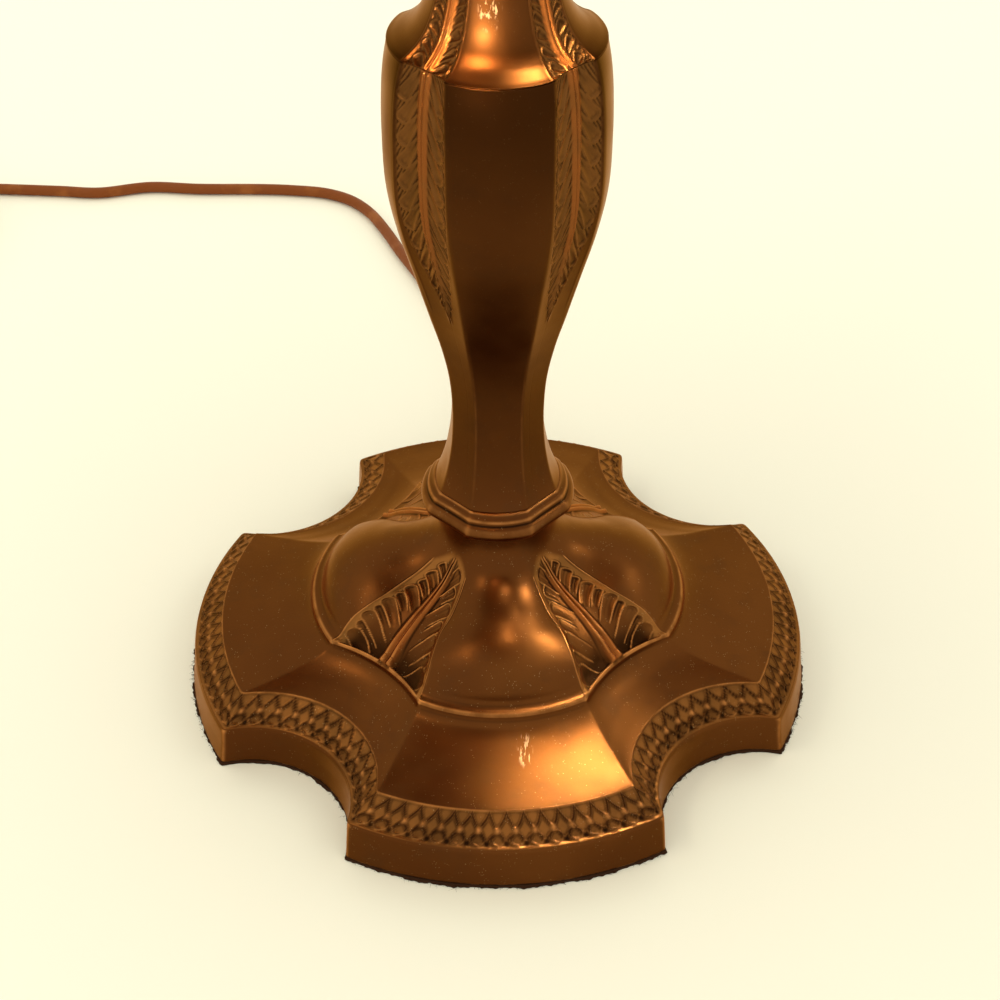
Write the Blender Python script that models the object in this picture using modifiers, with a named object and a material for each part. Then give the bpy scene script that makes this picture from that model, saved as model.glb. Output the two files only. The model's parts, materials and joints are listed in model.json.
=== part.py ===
"""Table lamp: a lobed cast foot and faceted baluster stem, a two-light pull-chain cluster, and a six-sided
bent-glass shade. Units are metres, +Z up, the lamp's axis is Z and it stands on z = 0.

The castings are lofts. One ring of a loft has four wide lobes, on the X and Y axes, and four narrow
diagonal sides between them. Ring heights and radii are given as fractions of FOOT_R.
"""
import math

import bmesh
import bpy
from mathutils import Matrix, Vector

# ---------------------------------------------------------------- driving dimensions
FOOT_R = 0.118            # outline radius at the top of the foot's rim
GAP = 0.0003              # air left between neighbouring solids
FELT_T = 0.0015           # felt pad under the foot
WALL = 0.0026             # wall of the castings
MAIN_STEPS = 5            # segments across a wide lobe
DIAGONAL_STEPS = 3        # segments across a narrow diagonal side
TURN_STEPS = 12           # segments round a small turned part

PIPE_R = 0.0050           # threaded pipe through the whole stem
PIPE_BORE = 0.0036
PIPE_HOLE = 0.0056        # clearance hole for the pipe
PIPE_BOTTOM = 0.064
PIPE_TOP = 0.398

CLUSTER_Z = 0.404         # where the two socket arms' axes cross the lamp's axis
SOCKET_TILT = math.radians(55)   # socket axis from the vertical
RISER_R = 0.0032
RISER_TOP = 0.600

SIDES = 6                 # sides of the shade
SHADE_TOP_R = 0.040       # corner radius of the shade's upper opening
SHADE_TOP_Z = 0.575
CROWN_R = 0.186           # corner radius where the crown meets the skirt
CROWN_Z = 0.418
RIM_R = 0.203             # corner radius of the shade's lower edge
RIM_Z = 0.385
CROWN_START = math.radians(14)   # the crown's section is this stretch of an ellipse
CROWN_END = math.radians(78)
CROWN_ROWS = 10
FRAME_T = 0.0016          # metal of the shade frame
RIB_HALF = 0.0070         # from a corner of the shade to the edge of its rib
GLASS_T = 0.0028
GLASS_INSET = 0.0035      # from a corner of the shade to the edge of its glass

TOP_BAND = 0.055          # share of the crown's section under the frame's upper ring
MID_BAND_CROWN = 0.965    # where the band between crown and skirt starts
MID_BAND_SKIRT = 0.18     # and where it ends on the skirt
RIM_BAND = 0.76           # where the lower rim starts on the skirt
PANE_FIRST = 0.025        # the crown glass runs between these shares of the crown's section
PANE_LAST = 0.988
SHADE_TOP_FLAT = 0.010    # width of the frame's flat ring at the top, and its rise
SHADE_TOP_RISE = 0.0005
CAP_Z = SHADE_TOP_Z + SHADE_TOP_RISE + FRAME_T + GAP
CAP_FLOOR_Z = CAP_Z + 0.0090
CAP_T = 0.0010            # metal of the shade cap under the finial

ARM_R = 0.0046            # socket arm, then its ends along the socket's axis
ARM_START = 0.0100
ARM_END = 0.0290
CAP_R = 0.0170            # socket cap
SHELL_R = 0.0159          # socket shell
SHEET = 0.0008            # sheet brass of the sockets
LINER_T = 0.0006          # cardboard liner
BLOCK_R = 0.0138          # porcelain switch block
THREAD_R = 0.0139         # screw shell
THREAD_T = 0.0006
GUIDE_S = 0.0500          # the pull guide's place along the socket
GUIDE_START = -0.0173     # just outside the cap
GUIDE_END = -0.0270
LINK_OUT = 0.0012         # the pull link hangs this far outside the guide's mouth, and below it
LINK_DROP = 0.0030
LINK_LENGTH = 0.0072
CHAIN_LENGTH = 0.0780
CHAIN_R = 0.0012
BULB_GLASS_T = 0.0008
FINIAL_HEIGHT = 0.0380

CORD_R = 0.00275
LEAD_R = 0.0022           # the twin lead inside the lamp
BUSHING_Z = 0.0093
BUSHING_INNER_Y = 0.1118  # inner end of the cord bushing
BUSHING_LENGTH = 0.0285
BUSHING_TIP_Y = BUSHING_INNER_Y + BUSHING_LENGTH
COIL_TURN_R = 0.030       # middle of the coil's turns
COIL_COLUMNS = 3
COIL_LAYERS = 3
COIL_R = COIL_TURN_R + COIL_COLUMNS * CORD_R        # outer radius of the coil
COIL_X = -0.2990
COIL_BACK_Y = 0.3560      # the turns' furthest centre line, where the cord joins them

PLUG_Z = 0.0070
PLUG_SETBACK = 0.0500     # from the coil's middle to where the cord enters the plug
PLUG_TAIL = 0.0120
PLUG_BODY = 0.0240
PLUG_WIDTH = 0.0220
PLUG_THICK = 0.0130
BLADE = (0.0063, 0.0170, 0.0015)
BLADE_PITCH = 0.0127

# main radius and height, corner radius and height, diagonal radius and height, corner angle in degrees
FOOT_ROWS = (
    (1.016, 0.0153, 1.016, 0.0153, 0.814, 0.0153, 28.8),
    (1.008, 0.0800, 1.008, 0.0800, 0.806, 0.0800, 28.8),
    (1.000, 0.1464, 1.000, 0.1464, 0.800, 0.1464, 28.7),
    (0.905, 0.2230, 0.905, 0.2230, 0.700, 0.2230, 25.3),
    (0.800, 0.2380, 0.800, 0.2380, 0.638, 0.2380, 25.5),
    (0.700, 0.2540, 0.700, 0.2540, 0.579, 0.2540, 25.6),
    (0.625, 0.2830, 0.620, 0.2830, 0.533, 0.2830, 25.7),
    (0.602, 0.3020, 0.593, 0.3020, 0.521, 0.3020, 25.8),
    (0.598, 0.3200, 0.589, 0.3200, 0.518, 0.3200, 25.8),
    (0.572, 0.3340, 0.560, 0.3340, 0.490, 0.3340, 25.8),
    (0.562, 0.3600, 0.533, 0.3600, 0.462, 0.3560, 25.6),
    (0.545, 0.4000, 0.512, 0.3950, 0.432, 0.3820, 25.8),
    (0.505, 0.4450, 0.468, 0.4200, 0.392, 0.4060, 26.4),
    (0.450, 0.4780, 0.419, 0.4400, 0.345, 0.4280, 27.1),
    (0.380, 0.5000, 0.344, 0.4620, 0.295, 0.4500, 26.1),
    (0.310, 0.5180, 0.285, 0.4910, 0.252, 0.4780, 26.3),
    (0.255, 0.5400, 0.240, 0.5220, 0.220, 0.5100, 26.8),
    (0.215, 0.5700, 0.203, 0.5580, 0.195, 0.5480, 28.0),
    (0.190, 0.6150, 0.184, 0.6100, 0.182, 0.6050, 26.0),
    (0.184, 0.6820, 0.184, 0.6820, 0.184, 0.6820, 22.5),
)

# height, main, corner and diagonal radius, corner angle in degrees
COLLAR_ROWS = (
    (0.6850, 0.1900, 0.1900, 0.1840, 25.0),
    (0.7000, 0.2310, 0.2330, 0.2180, 25.2),
    (0.7215, 0.2415, 0.2433, 0.2280, 25.2),
    (0.7400, 0.2310, 0.2330, 0.2180, 25.2),
    (0.7520, 0.2060, 0.2080, 0.1960, 25.6),
    (0.7640, 0.2020, 0.2040, 0.1930, 26.0),
    (0.7720, 0.2000, 0.2020, 0.1900, 26.0),
    (0.7800, 0.1920, 0.1940, 0.1840, 26.0),
)
COLLAR_BORE = 0.130

STEM_ROWS = (
    (0.7830, 0.1880, 0.1960, 0.1850, 26.0),
    (0.8200, 0.1750, 0.1860, 0.1750, 26.0),
    (0.8800, 0.1570, 0.1720, 0.1620, 26.3),
    (0.9700, 0.1430, 0.1590, 0.1510, 26.5),
    (1.0800, 0.1380, 0.1550, 0.1470, 26.5),
    (1.2000, 0.1460, 0.1630, 0.1540, 26.5),
    (1.3200, 0.1700, 0.1870, 0.1760, 26.5),
    (1.4400, 0.2060, 0.2210, 0.2060, 26.4),
    (1.5800, 0.2490, 0.2590, 0.2390, 26.3),
    (1.7200, 0.2900, 0.2960, 0.2700, 26.3),
    (1.8600, 0.3160, 0.3200, 0.2920, 26.3),
    (2.0200, 0.3210, 0.3230, 0.2940, 26.5),
    (2.1400, 0.3180, 0.3190, 0.2900, 27.0),
    (2.2200, 0.3110, 0.3110, 0.2820, 27.8),
    (2.2900, 0.2990, 0.2950, 0.2700, 28.7),
)

NECK_ROWS = (
    (2.2930, 0.3000, 0.2960, 0.2710, 28.7),
    (2.3020, 0.2800, 0.2760, 0.2560, 28.0),
    (2.3240, 0.2440, 0.2460, 0.2300, 27.5),
    (2.3600, 0.2140, 0.2160, 0.2030, 27.0),
    (2.4200, 0.1860, 0.1900, 0.1790, 26.5),
    (2.5200, 0.1600, 0.1650, 0.1560, 26.0),
    (2.6600, 0.1380, 0.1440, 0.1370, 26.0),
    (2.8400, 0.1250, 0.1310, 0.1250, 26.0),
    (3.0000, 0.1240, 0.1290, 0.1230, 26.0),
    (3.0900, 0.1320, 0.1360, 0.1300, 26.0),
    (3.1400, 0.1420, 0.1440, 0.1400, 24.0),
)
NECK_TOP = 3.1400 * FOOT_R

PATINA = (0.20, 0.085, 0.032)
BRASS = (0.62, 0.42, 0.18)
STEEL = (0.45, 0.44, 0.42)


# ---------------------------------------------------------------- helpers
def collection(name):
    made = bpy.data.collections.new(name)
    bpy.context.scene.collection.children.link(made)
    return made


def material(name, colour, roughness, metallic):
    made = bpy.data.materials.new(name)
    made.use_nodes = True
    shader = made.node_tree.nodes["Principled BSDF"]
    shader.inputs["Base Color"].default_value = (*colour, 1.0)
    shader.inputs["Roughness"].default_value = roughness
    shader.inputs["Metallic"].default_value = metallic
    made.diffuse_color = (*colour, 1.0)
    return made


def add_object(name, data, look):
    """A part made from a mesh or a curve, with its own material: look is colour, roughness, metallic."""
    made = bpy.data.objects.new(name, data)
    PARTS.objects.link(made)
    data.materials.append(material(name, *look))
    return made


def mesh_from(bm, name):
    mesh = bpy.data.meshes.new(name)
    bm.to_mesh(mesh)
    bm.free()
    mesh.shade_smooth()
    mesh.set_sharp_from_angle(angle=math.radians(35))
    return mesh


def lobed_ring(main, corner, diagonal, corner_deg):
    """Points of one ring, anticlockwise from above. Each of main, corner, diagonal is (radius, height)."""
    points = []
    for side in range(8):
        wide = side % 2 == 0
        middle = main if wide else diagonal
        half = math.radians(corner_deg if wide else 45.0 - corner_deg)
        steps = MAIN_STEPS if wide else DIAGONAL_STEPS
        chord = corner[0] * math.sin(half)
        rise = middle[0] - corner[0] * math.cos(half)
        bend = math.copysign(max(abs(rise), 1e-6), rise)
        radius = (chord * chord + bend * bend) / (2 * bend)
        sweep = math.asin(chord / abs(radius))
        turn = Matrix.Rotation(side * math.pi / 4, 3, "Z")
        for step in range(steps):
            across = -1 + 2 * step / steps
            x = middle[0] + radius * (math.cos(across * sweep) - 1)
            y = abs(radius) * math.sin(across * sweep)
            z = middle[1] + (corner[1] - middle[1]) * across * across
            points.append(turn @ Vector((x, y, z)))
    return points


def flat_row(row):
    """A row of one height as a row of three heights."""
    height, main, corner, diagonal, corner_deg = row
    return main, height, corner, height, diagonal, height, corner_deg


def row_ring(row, inset=0.0, drop=0.0, lowest=0.0):
    """The ring of a table row, made smaller by inset and lower by drop, down to lowest."""
    def place(radius, height):
        return radius * FOOT_R - inset, max(height * FOOT_R - drop, lowest)

    return lobed_ring(place(*row[0:2]), place(*row[2:4]), place(*row[4:6]), row[6])


def every_other(rows):
    """Every second row, counted back from the last, and the first."""
    kept = list(rows[::-2][::-1])
    return kept if kept[0] is rows[0] else [rows[0], *kept]


def round_ring(radius, height):
    return lobed_ring((radius, height), (radius, height), (radius, height), 22.5)


def ring_loft(name, rings, look):
    """A hollow body: rings run up the outside and down the inside, and the last joins the first."""
    bm = bmesh.new()
    rows = [[bm.verts.new(point) for point in ring] for ring in rings]
    for below, above in zip(rows, rows[1:] + rows[:1]):
        for j in range(len(below)):
            k = (j + 1) % len(below)
            bm.faces.new((below[j], below[k], above[k], above[j]))
    return add_object(name, mesh_from(bm, name), look)


def turned(name, profile, look, steps=TURN_STEPS, closed=True, thickness=0.0):
    """A turned shape about its own Z. The profile (radius, height) runs down its outer side."""
    bm = bmesh.new()
    verts = [bm.verts.new((radius, 0.0, height)) for radius, height in profile]
    pairs = list(zip(verts, verts[1:]))
    if closed:
        pairs.append((verts[-1], verts[0]))
    for pair in pairs:
        bm.edges.new(pair)
    made = add_object(name, mesh_from(bm, name), look)
    screw = made.modifiers.new("Screw", "SCREW")
    screw.steps = steps
    screw.render_steps = steps
    screw.use_merge_vertices = True
    screw.merge_threshold = 0.00001
    if thickness:
        shell = made.modifiers.new("Shell", "SOLIDIFY")
        shell.thickness = thickness
        shell.offset = -1
    return made


def tube_profile(outer, bore, top, bottom):
    return ((outer, top), (outer, bottom), (bore, bottom), (bore, top))


def wire(name, points, radius, look, resolution=2):
    """A tube along points, as a POLY curve with filled ends."""
    curve = bpy.data.curves.new(name, "CURVE")
    curve.dimensions = "3D"
    curve.bevel_depth = radius
    curve.bevel_resolution = resolution
    curve.use_fill_caps = True
    spline = curve.splines.new("POLY")
    spline.points.add(len(points) - 1)
    for slot, point in zip(spline.points, points):
        slot.co = (*point, 1.0)
    return add_object(name, curve, look)


def smooth_route(points, spacing):
    """Points a set distance apart on a Catmull-Rom curve through the route's own points."""
    knots = [Vector(point) for point in points]
    knots = [2 * knots[0] - knots[1], *knots, 2 * knots[-1] - knots[-2]]
    fine = []
    for a, b, c, d in zip(knots, knots[1:], knots[2:], knots[3:]):
        for step in range(20):
            t = step / 20
            fine.append(0.5 * (2 * b + (c - a) * t + (2 * a - 5 * b + 4 * c - d) * t * t
                               + (3 * b - a - 3 * c + d) * t ** 3))
    fine.append(knots[-2])
    length = sum((b - a).length for a, b in zip(fine, fine[1:]))
    count = round(length / spacing)
    route = [fine[0]]
    walked = 0.0
    for a, b in zip(fine, fine[1:]):
        walked += (b - a).length
        if walked >= len(route) * length / count and len(route) < count:
            route.append(b)
    route.append(fine[-1])
    return route


def cylinder_cutter(name, radius, length, matrix):
    bm = bmesh.new()
    bmesh.ops.create_cone(
        bm, cap_ends=True, segments=16, radius1=radius, radius2=radius, depth=length, matrix=matrix
    )
    cutter = bpy.data.objects.new(name, mesh_from(bm, name))
    CUTTERS.objects.link(cutter)
    cutter.hide_render = True
    cutter.display_type = "WIRE"
    return cutter


def cut(target, cutter):
    boolean = target.modifiers.new("Cut", "BOOLEAN")
    boolean.operation = "DIFFERENCE"
    boolean.object = cutter


def along_y(y, z):
    """Places a turned part so that its own +Z points along -Y, from the point (0, y, z)."""
    return Matrix.Translation((0, y, z)) @ Matrix.Rotation(math.pi / 2, 4, "X")


# ---------------------------------------------------------------- foot
def make_foot():
    outside = [row_ring(row) for row in FOOT_ROWS]
    top = FOOT_ROWS[-1][1] * FOOT_R
    bottom = FOOT_ROWS[0][1] * FOOT_R
    inside = [row_ring(row, WALL, WALL, bottom) for row in every_other(FOOT_ROWS)]
    hole = [round_ring(PIPE_HOLE, top), round_ring(PIPE_HOLE, top - WALL)]
    foot = ring_loft("foot_casting", outside + hole + inside[::-1], (PATINA, 0.38, 0.85))
    matrix = along_y(FOOT_R, BUSHING_Z)
    cut(foot, cylinder_cutter("bushing_hole", 0.0043, 0.016, matrix))


def make_felt():
    row = FOOT_ROWS[0]
    outline = lobed_ring(
        (row[0] * FOOT_R, 0.0), (row[2] * FOOT_R, 0.0), (row[4] * FOOT_R, 0.0), row[6]
    )
    bm = bmesh.new()
    face = bm.faces.new([bm.verts.new(point) for point in outline])
    grown = bmesh.ops.extrude_face_region(bm, geom=[face])
    moved = [item for item in grown["geom"] if isinstance(item, bmesh.types.BMVert)]
    bmesh.ops.translate(bm, vec=(0, 0, FELT_T), verts=moved)
    bmesh.ops.recalc_face_normals(bm, faces=bm.faces)
    add_object("felt_pad", mesh_from(bm, "felt_pad"), ((0.03, 0.02, 0.015), 0.95, 0.0))


def make_foot_fixings():
    plate = FOOT_ROWS[-1][1] * FOOT_R - WALL
    washer_top = plate - GAP
    washer_bottom = washer_top - 0.0020
    profile = tube_profile(0.0150, PIPE_HOLE, washer_top, washer_bottom)
    turned("foot_washer", profile, (STEEL, 0.45, 0.9))
    thick = 0.0055
    middle = Matrix.Translation((0, 0, washer_bottom - GAP - thick / 2))
    bm = bmesh.new()
    bmesh.ops.create_cone(
        bm, cap_ends=True, segments=6, radius1=0.0095, radius2=0.0095, depth=thick, matrix=middle
    )
    nut = add_object("foot_nut", mesh_from(bm, "foot_nut"), (BRASS, 0.4, 0.9))
    cut(nut, cylinder_cutter("nut_bore", PIPE_HOLE, 2 * thick, middle))


def make_cord_bushing():
    """A tapered grommet through the back of the rim, bored for the cord."""
    bore = CORD_R + GAP
    profile = (
        (0.0040, 0.0000),
        (0.0040, -0.0085),
        (0.0066, -0.0085),
        (0.0066, -0.0105),
        (0.0052, -0.0115),
        (0.0036, -BUSHING_LENGTH),
        (bore, -BUSHING_LENGTH),
        (bore, 0.0000),
    )
    made = turned("cord_bushing", profile, ((0.05, 0.03, 0.02), 0.5, 0.0))
    made.matrix_world = along_y(BUSHING_INNER_Y, BUSHING_Z)


# ---------------------------------------------------------------- stem
def make_collar():
    outside = [row_ring(flat_row(row)) for row in COLLAR_ROWS]
    bore = [
        round_ring(COLLAR_BORE * FOOT_R, COLLAR_ROWS[-1][0] * FOOT_R),
        round_ring(COLLAR_BORE * FOOT_R, COLLAR_ROWS[0][0] * FOOT_R),
    ]
    ring_loft("stem_collar", outside + bore, (PATINA, 0.36, 0.85))


def make_hollow_casting(name, rows):
    outside = [row_ring(flat_row(row)) for row in rows]
    inside = [row_ring(flat_row(row), WALL) for row in every_other(every_other(rows))]
    ring_loft(name, outside + inside[::-1], (PATINA, 0.36, 0.85))


def make_neck_cap():
    """The cast ring on top of the neck that centres the pipe."""
    z = NECK_TOP + GAP
    profile = (
        (PIPE_HOLE, z + 0.0105),
        (0.0080, z + 0.0105),
        (0.0095, z + 0.0090),
        (0.0100, z + 0.0065),
        (0.0150, z + 0.0045),
        (0.0172, z + 0.0020),
        (0.0160, z),
        (PIPE_HOLE, z),
    )
    turned("neck_cap", profile, (PATINA, 0.36, 0.85), steps=16)


def make_pipe():
    profile = tube_profile(PIPE_R, PIPE_BORE, PIPE_TOP, PIPE_BOTTOM)
    turned("center_pipe", profile, (STEEL, 0.45, 0.9))


def make_inner_leads():
    """The twin lead inside the lamp, from the bushing across the foot and up the pipe."""
    route = (
        (0.0, BUSHING_INNER_Y - GAP, BUSHING_Z),
        (0.0, 0.095, 0.0090),
        (0.0, 0.070, 0.0105),
        (0.0, 0.040, 0.0160),
        (0.0, 0.018, 0.0290),
        (0.0, 0.004, 0.0480),
        (0.0, 0.000, 0.0640),
        (0.0, 0.000, 0.0800),
        (0.0, 0.000, 0.2400),
        (0.0, 0.000, PIPE_TOP + 0.0040),
    )
    points = smooth_route(route[:8], 0.009) + [Vector(point) for point in route[8:]]
    wire("inner_leads", points, LEAD_R, ((0.05, 0.03, 0.02), 0.6, 0.0))


# ---------------------------------------------------------------- cluster
def socket_frame(side):
    """The frame of one socket: its own +Z runs from the cluster out along the socket."""
    return Matrix.Translation((0, 0, CLUSTER_Z)) @ Matrix.Rotation(side * SOCKET_TILT, 4, "Y")


def make_cluster_body():
    low = CLUSTER_Z - 0.0150
    high = CLUSTER_Z + 0.0200
    profile = (
        (RISER_R + GAP, high),
        (0.0062, high),
        (0.0070, high - 0.0030),
        (0.0125, high - 0.0080),
        (0.0165, high - 0.0150),
        (0.0165, high - 0.0230),
        (0.0125, high - 0.0300),
        (0.0090, low + 0.0020),
        (0.0090, low),
        (PIPE_R + GAP, low),
        (PIPE_R + GAP, CLUSTER_Z + 0.0080),
        (RISER_R + GAP, CLUSTER_Z + 0.0115),
    )
    body = turned("cluster_body", profile, (BRASS, 0.42, 0.9))
    for side in (-1, 1):
        matrix = socket_frame(side) @ Matrix.Translation((0, 0, 0.0145))
        cut(body, cylinder_cutter(f"arm_hole_{side}", ARM_R + GAP, 0.0150, matrix))


def make_socket(word, side):
    """One socket, from its arm to its pull guide. All its parts share the frame of the socket."""
    frame = socket_frame(side)
    arm = turned(f"{word}_arm", tube_profile(ARM_R, 0.0030, ARM_END, ARM_START), (BRASS, 0.42, 0.9))
    cap = turned(
        f"{word}_socket_cap",
        (
            (CAP_R - SHEET, 0.0440),
            (CAP_R, 0.0440),
            (CAP_R, 0.0380),
            (0.0150, 0.0325),
            (0.0090, 0.0295),
            (0.0072, 0.0240),
            (ARM_R + GAP, 0.0240),
            (ARM_R + GAP, 0.0300),
            (0.0140, 0.0333),
            (CAP_R - SHEET, 0.0385),
        ),
        (BRASS, 0.38, 0.9),
    )
    shell = turned(
        f"{word}_socket_shell",
        (
            (SHELL_R - SHEET, 0.0800),
            (SHELL_R + 0.0002, 0.0800),
            (SHELL_R + 0.0006, 0.0790),
            (SHELL_R, 0.0780),
            (SHELL_R, 0.0390),
            (SHELL_R - SHEET, 0.0390),
        ),
        (BRASS, 0.38, 0.9),
    )
    liner_r = SHELL_R - SHEET - GAP
    liner = turned(
        f"{word}_socket_liner",
        tube_profile(liner_r, liner_r - LINER_T, 0.0790, 0.0400),
        ((0.35, 0.25, 0.15), 0.9, 0.0),
    )
    block = turned(
        f"{word}_switch_block",
        ((0.0, 0.0560), (BLOCK_R, 0.0560), (BLOCK_R, 0.0420), (0.0, 0.0420)),
        ((0.75, 0.72, 0.66), 0.3, 0.0),
        closed=False,
    )
    thread = turned(
        f"{word}_screw_shell",
        tube_profile(THREAD_R, THREAD_R - THREAD_T, 0.0775, 0.0570),
        (BRASS, 0.3, 0.95),
    )
    guide = turned(
        f"{word}_pull_guide",
        (
            (0.0019, GUIDE_START),
            (0.0042, GUIDE_START),
            (0.0042, GUIDE_START - 0.0018),
            (0.0028, GUIDE_START - 0.0030),
            (0.0028, GUIDE_END + 0.0012),
            (0.0034, GUIDE_END),
            (0.0022, GUIDE_END),
        ),
        (BRASS, 0.38, 0.9),
        steps=8,
    )
    for part in (arm, cap, shell, liner, block, thread):
        part.matrix_world = frame
    guide.matrix_world = guide_frame(side)


def guide_frame(side):
    """The pull guide's frame: its own -Z points out of the socket's lower side."""
    lower = Matrix.Translation((0, 0, GUIDE_S)) @ Matrix.Rotation(-side * math.pi / 2, 4, "Y")
    return socket_frame(side) @ lower


def chain_top(side):
    mouth = guide_frame(side) @ Vector((0, 0, GUIDE_END))
    return Vector((mouth.x + side * LINK_OUT, 0.0, mouth.z - LINK_DROP))


def make_pull(word, side):
    """The switch's pull: a link at the guide's mouth, then a chain hinged to it with a knob."""
    top = chain_top(side)
    link = turned(
        f"{word}_pull_link",
        ((0.0, 0.0), (0.0015, -0.0004), (0.0023, -0.0020), (0.0023, -0.0062), (0.0, -0.0070)),
        (BRASS, 0.35, 0.95),
        steps=8,
        closed=False,
    )
    link.location = top
    hinge = bpy.data.objects.new(f"{word}_chain_hinge", None)
    PARTS.objects.link(hinge)
    hinge.location = top + Vector((0, 0, -LINK_LENGTH))
    chain = wire(f"{word}_pull_chain", ((0, 0, -GAP), (0, 0, -CHAIN_LENGTH)), CHAIN_R,
                 (BRASS, 0.35, 0.95))
    knob = turned(
        f"{word}_pull_knob",
        (
            (0.0, -CHAIN_LENGTH - GAP),
            (0.0018, -CHAIN_LENGTH - 0.0005),
            (0.0024, -CHAIN_LENGTH - 0.0030),
            (0.0046, -CHAIN_LENGTH - 0.0075),
            (0.0050, -CHAIN_LENGTH - 0.0120),
            (0.0030, -CHAIN_LENGTH - 0.0155),
            (0.0, -CHAIN_LENGTH - 0.0165),
        ),
        (BRASS, 0.3, 0.95),
        steps=10,
        closed=False,
    )
    chain.parent = hinge
    knob.parent = hinge


def make_bulb(word, side):
    frame = socket_frame(side)
    glass = turned(
        f"{word}_bulb_glass",
        (
            (0.0, 0.1490),
            (0.0090, 0.1476),
            (0.0170, 0.1430),
            (0.0225, 0.1355),
            (0.0248, 0.1270),
            (0.0240, 0.1180),
            (0.0205, 0.1080),
            (0.0160, 0.0980),
            (0.0132, 0.0890),
            (0.0119, 0.0820),
            (0.0117, 0.0740),
        ),
        ((0.95, 0.93, 0.85), 0.15, 0.0),
        steps=14,
        closed=False,
        thickness=BULB_GLASS_T,
    )
    base = turned(
        f"{word}_bulb_base",
        (
            (0.0125, 0.0820),
            (0.0129, 0.0820),
            (0.0129, 0.0630),
            (0.0080, 0.0595),
            (0.0040, 0.0590),
            (0.0030, 0.0575),
            (0.0, 0.0575),
            (0.0, 0.0600),
            (0.0078, 0.0602),
            (0.0125, 0.0635),
        ),
        (BRASS, 0.3, 0.9),
        closed=False,
    )
    close_profile_ends(base)
    mount = turned(
        f"{word}_bulb_filament",
        (
            (0.0, 0.1210),
            (0.0012, 0.1200),
            (0.0012, 0.1050),
            (0.0035, 0.0990),
            (0.0045, 0.0860),
            (0.0090, 0.0760),
            (0.0090, 0.0750),
            (0.0, 0.0750),
        ),
        ((0.80, 0.80, 0.75), 0.2, 0.0),
        steps=10,
        closed=False,
    )
    for part in (glass, base, mount):
        part.matrix_world = frame


def close_profile_ends(made):
    """Joins the first and last point of a profile whose middle points lie on the axis."""
    bm = bmesh.new()
    bm.from_mesh(made.data)
    bm.verts.ensure_lookup_table()
    bm.edges.new((bm.verts[-1], bm.verts[0]))
    axis = [edge for edge in bm.edges if all(abs(v.co.x) < 1e-9 for v in edge.verts)]
    bmesh.ops.delete(bm, geom=axis, context="EDGES")
    bm.to_mesh(made.data)
    bm.free()


def make_riser():
    profile = (
        (0.0, RISER_TOP),
        (RISER_R, RISER_TOP),
        (RISER_R, CLUSTER_Z + 0.0130),
        (0.0, CLUSTER_Z + 0.0130),
    )
    turned("riser_rod", profile, (BRASS, 0.4, 0.9), steps=12, closed=False)
    seat_top = CAP_FLOOR_Z - GAP
    profile = (
        (RISER_R + GAP, seat_top),
        (0.0100, seat_top),
        (0.0110, seat_top - 0.0010),
        (0.0110, seat_top - 0.0025),
        (0.0060, seat_top - 0.0045),
        (0.0060, seat_top - 0.0100),
        (RISER_R + GAP, seat_top - 0.0100),
    )
    turned("shade_seat", profile, (BRASS, 0.4, 0.9))


# ---------------------------------------------------------------- shade
def crown_section(t):
    """Corner radius and height of the crown, t from 0 at its top to 1 where the skirt starts."""
    angle = CROWN_START + (CROWN_END - CROWN_START) * t
    out = (math.sin(angle) - math.sin(CROWN_START)) / (math.sin(CROWN_END) - math.sin(CROWN_START))
    down = (math.cos(CROWN_START) - math.cos(angle)) / (math.cos(CROWN_START) - math.cos(CROWN_END))
    radius = SHADE_TOP_R + (CROWN_R - SHADE_TOP_R) * out
    return radius, SHADE_TOP_Z + (CROWN_Z - SHADE_TOP_Z) * down


def skirt_section(t):
    return CROWN_R + (RIM_R - CROWN_R) * t, CROWN_Z + (RIM_Z - CROWN_Z) * t


def frame_rows():
    """Sections down the frame, each with True where the frame is solid below it."""
    rows = [((SHADE_TOP_R - SHADE_TOP_FLAT, SHADE_TOP_Z + SHADE_TOP_RISE), True)]
    rows.append((crown_section(0.0), True))
    for step in range(CROWN_ROWS):
        t = TOP_BAND + (MID_BAND_CROWN - TOP_BAND) * step / CROWN_ROWS
        rows.append((crown_section(t), False))
    rows.append((crown_section(MID_BAND_CROWN), True))
    rows.append((crown_section(1.0), True))
    rows.append((skirt_section(MID_BAND_SKIRT), False))
    rows.append((skirt_section(RIM_BAND), True))
    rows.append((skirt_section(1.0), True))
    return rows


def side_point(side, across, radius, height):
    """A point of one side of the shade: across is metres from the side's middle line."""
    turn = Matrix.Rotation(side * 2 * math.pi / SIDES, 3, "Z")
    apothem = radius * math.cos(math.pi / SIDES)
    return turn @ Vector((across, -apothem, height))


def make_shade_frame():
    """A sheet frame with an open window in each side of the crown and of the skirt, then thickened."""
    rows = frame_rows()
    bm = bmesh.new()
    grid = []
    for (radius, height), _ in rows:
        half = radius * math.sin(math.pi / SIDES)
        ring = []
        for side in range(SIDES):
            edge = half - RIB_HALF
            for across in (-half, -edge, edge):
                ring.append(bm.verts.new(side_point(side, across, radius, height)))
        grid.append(ring)
    count = 3 * SIDES
    for (above, below), (_, solid) in zip(zip(grid, grid[1:]), rows):
        for j in range(count):
            window = j % 3 == 1 and not solid
            if not window:
                k = (j + 1) % count
                bm.faces.new((below[j], below[k], above[k], above[j]))
    made = add_object("shade_frame", mesh_from(bm, "shade_frame"), (PATINA, 0.42, 0.85))
    shell = made.modifiers.new("Shell", "SOLIDIFY")
    shell.thickness = FRAME_T
    shell.offset = 1
    shell.use_even_offset = True


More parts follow.
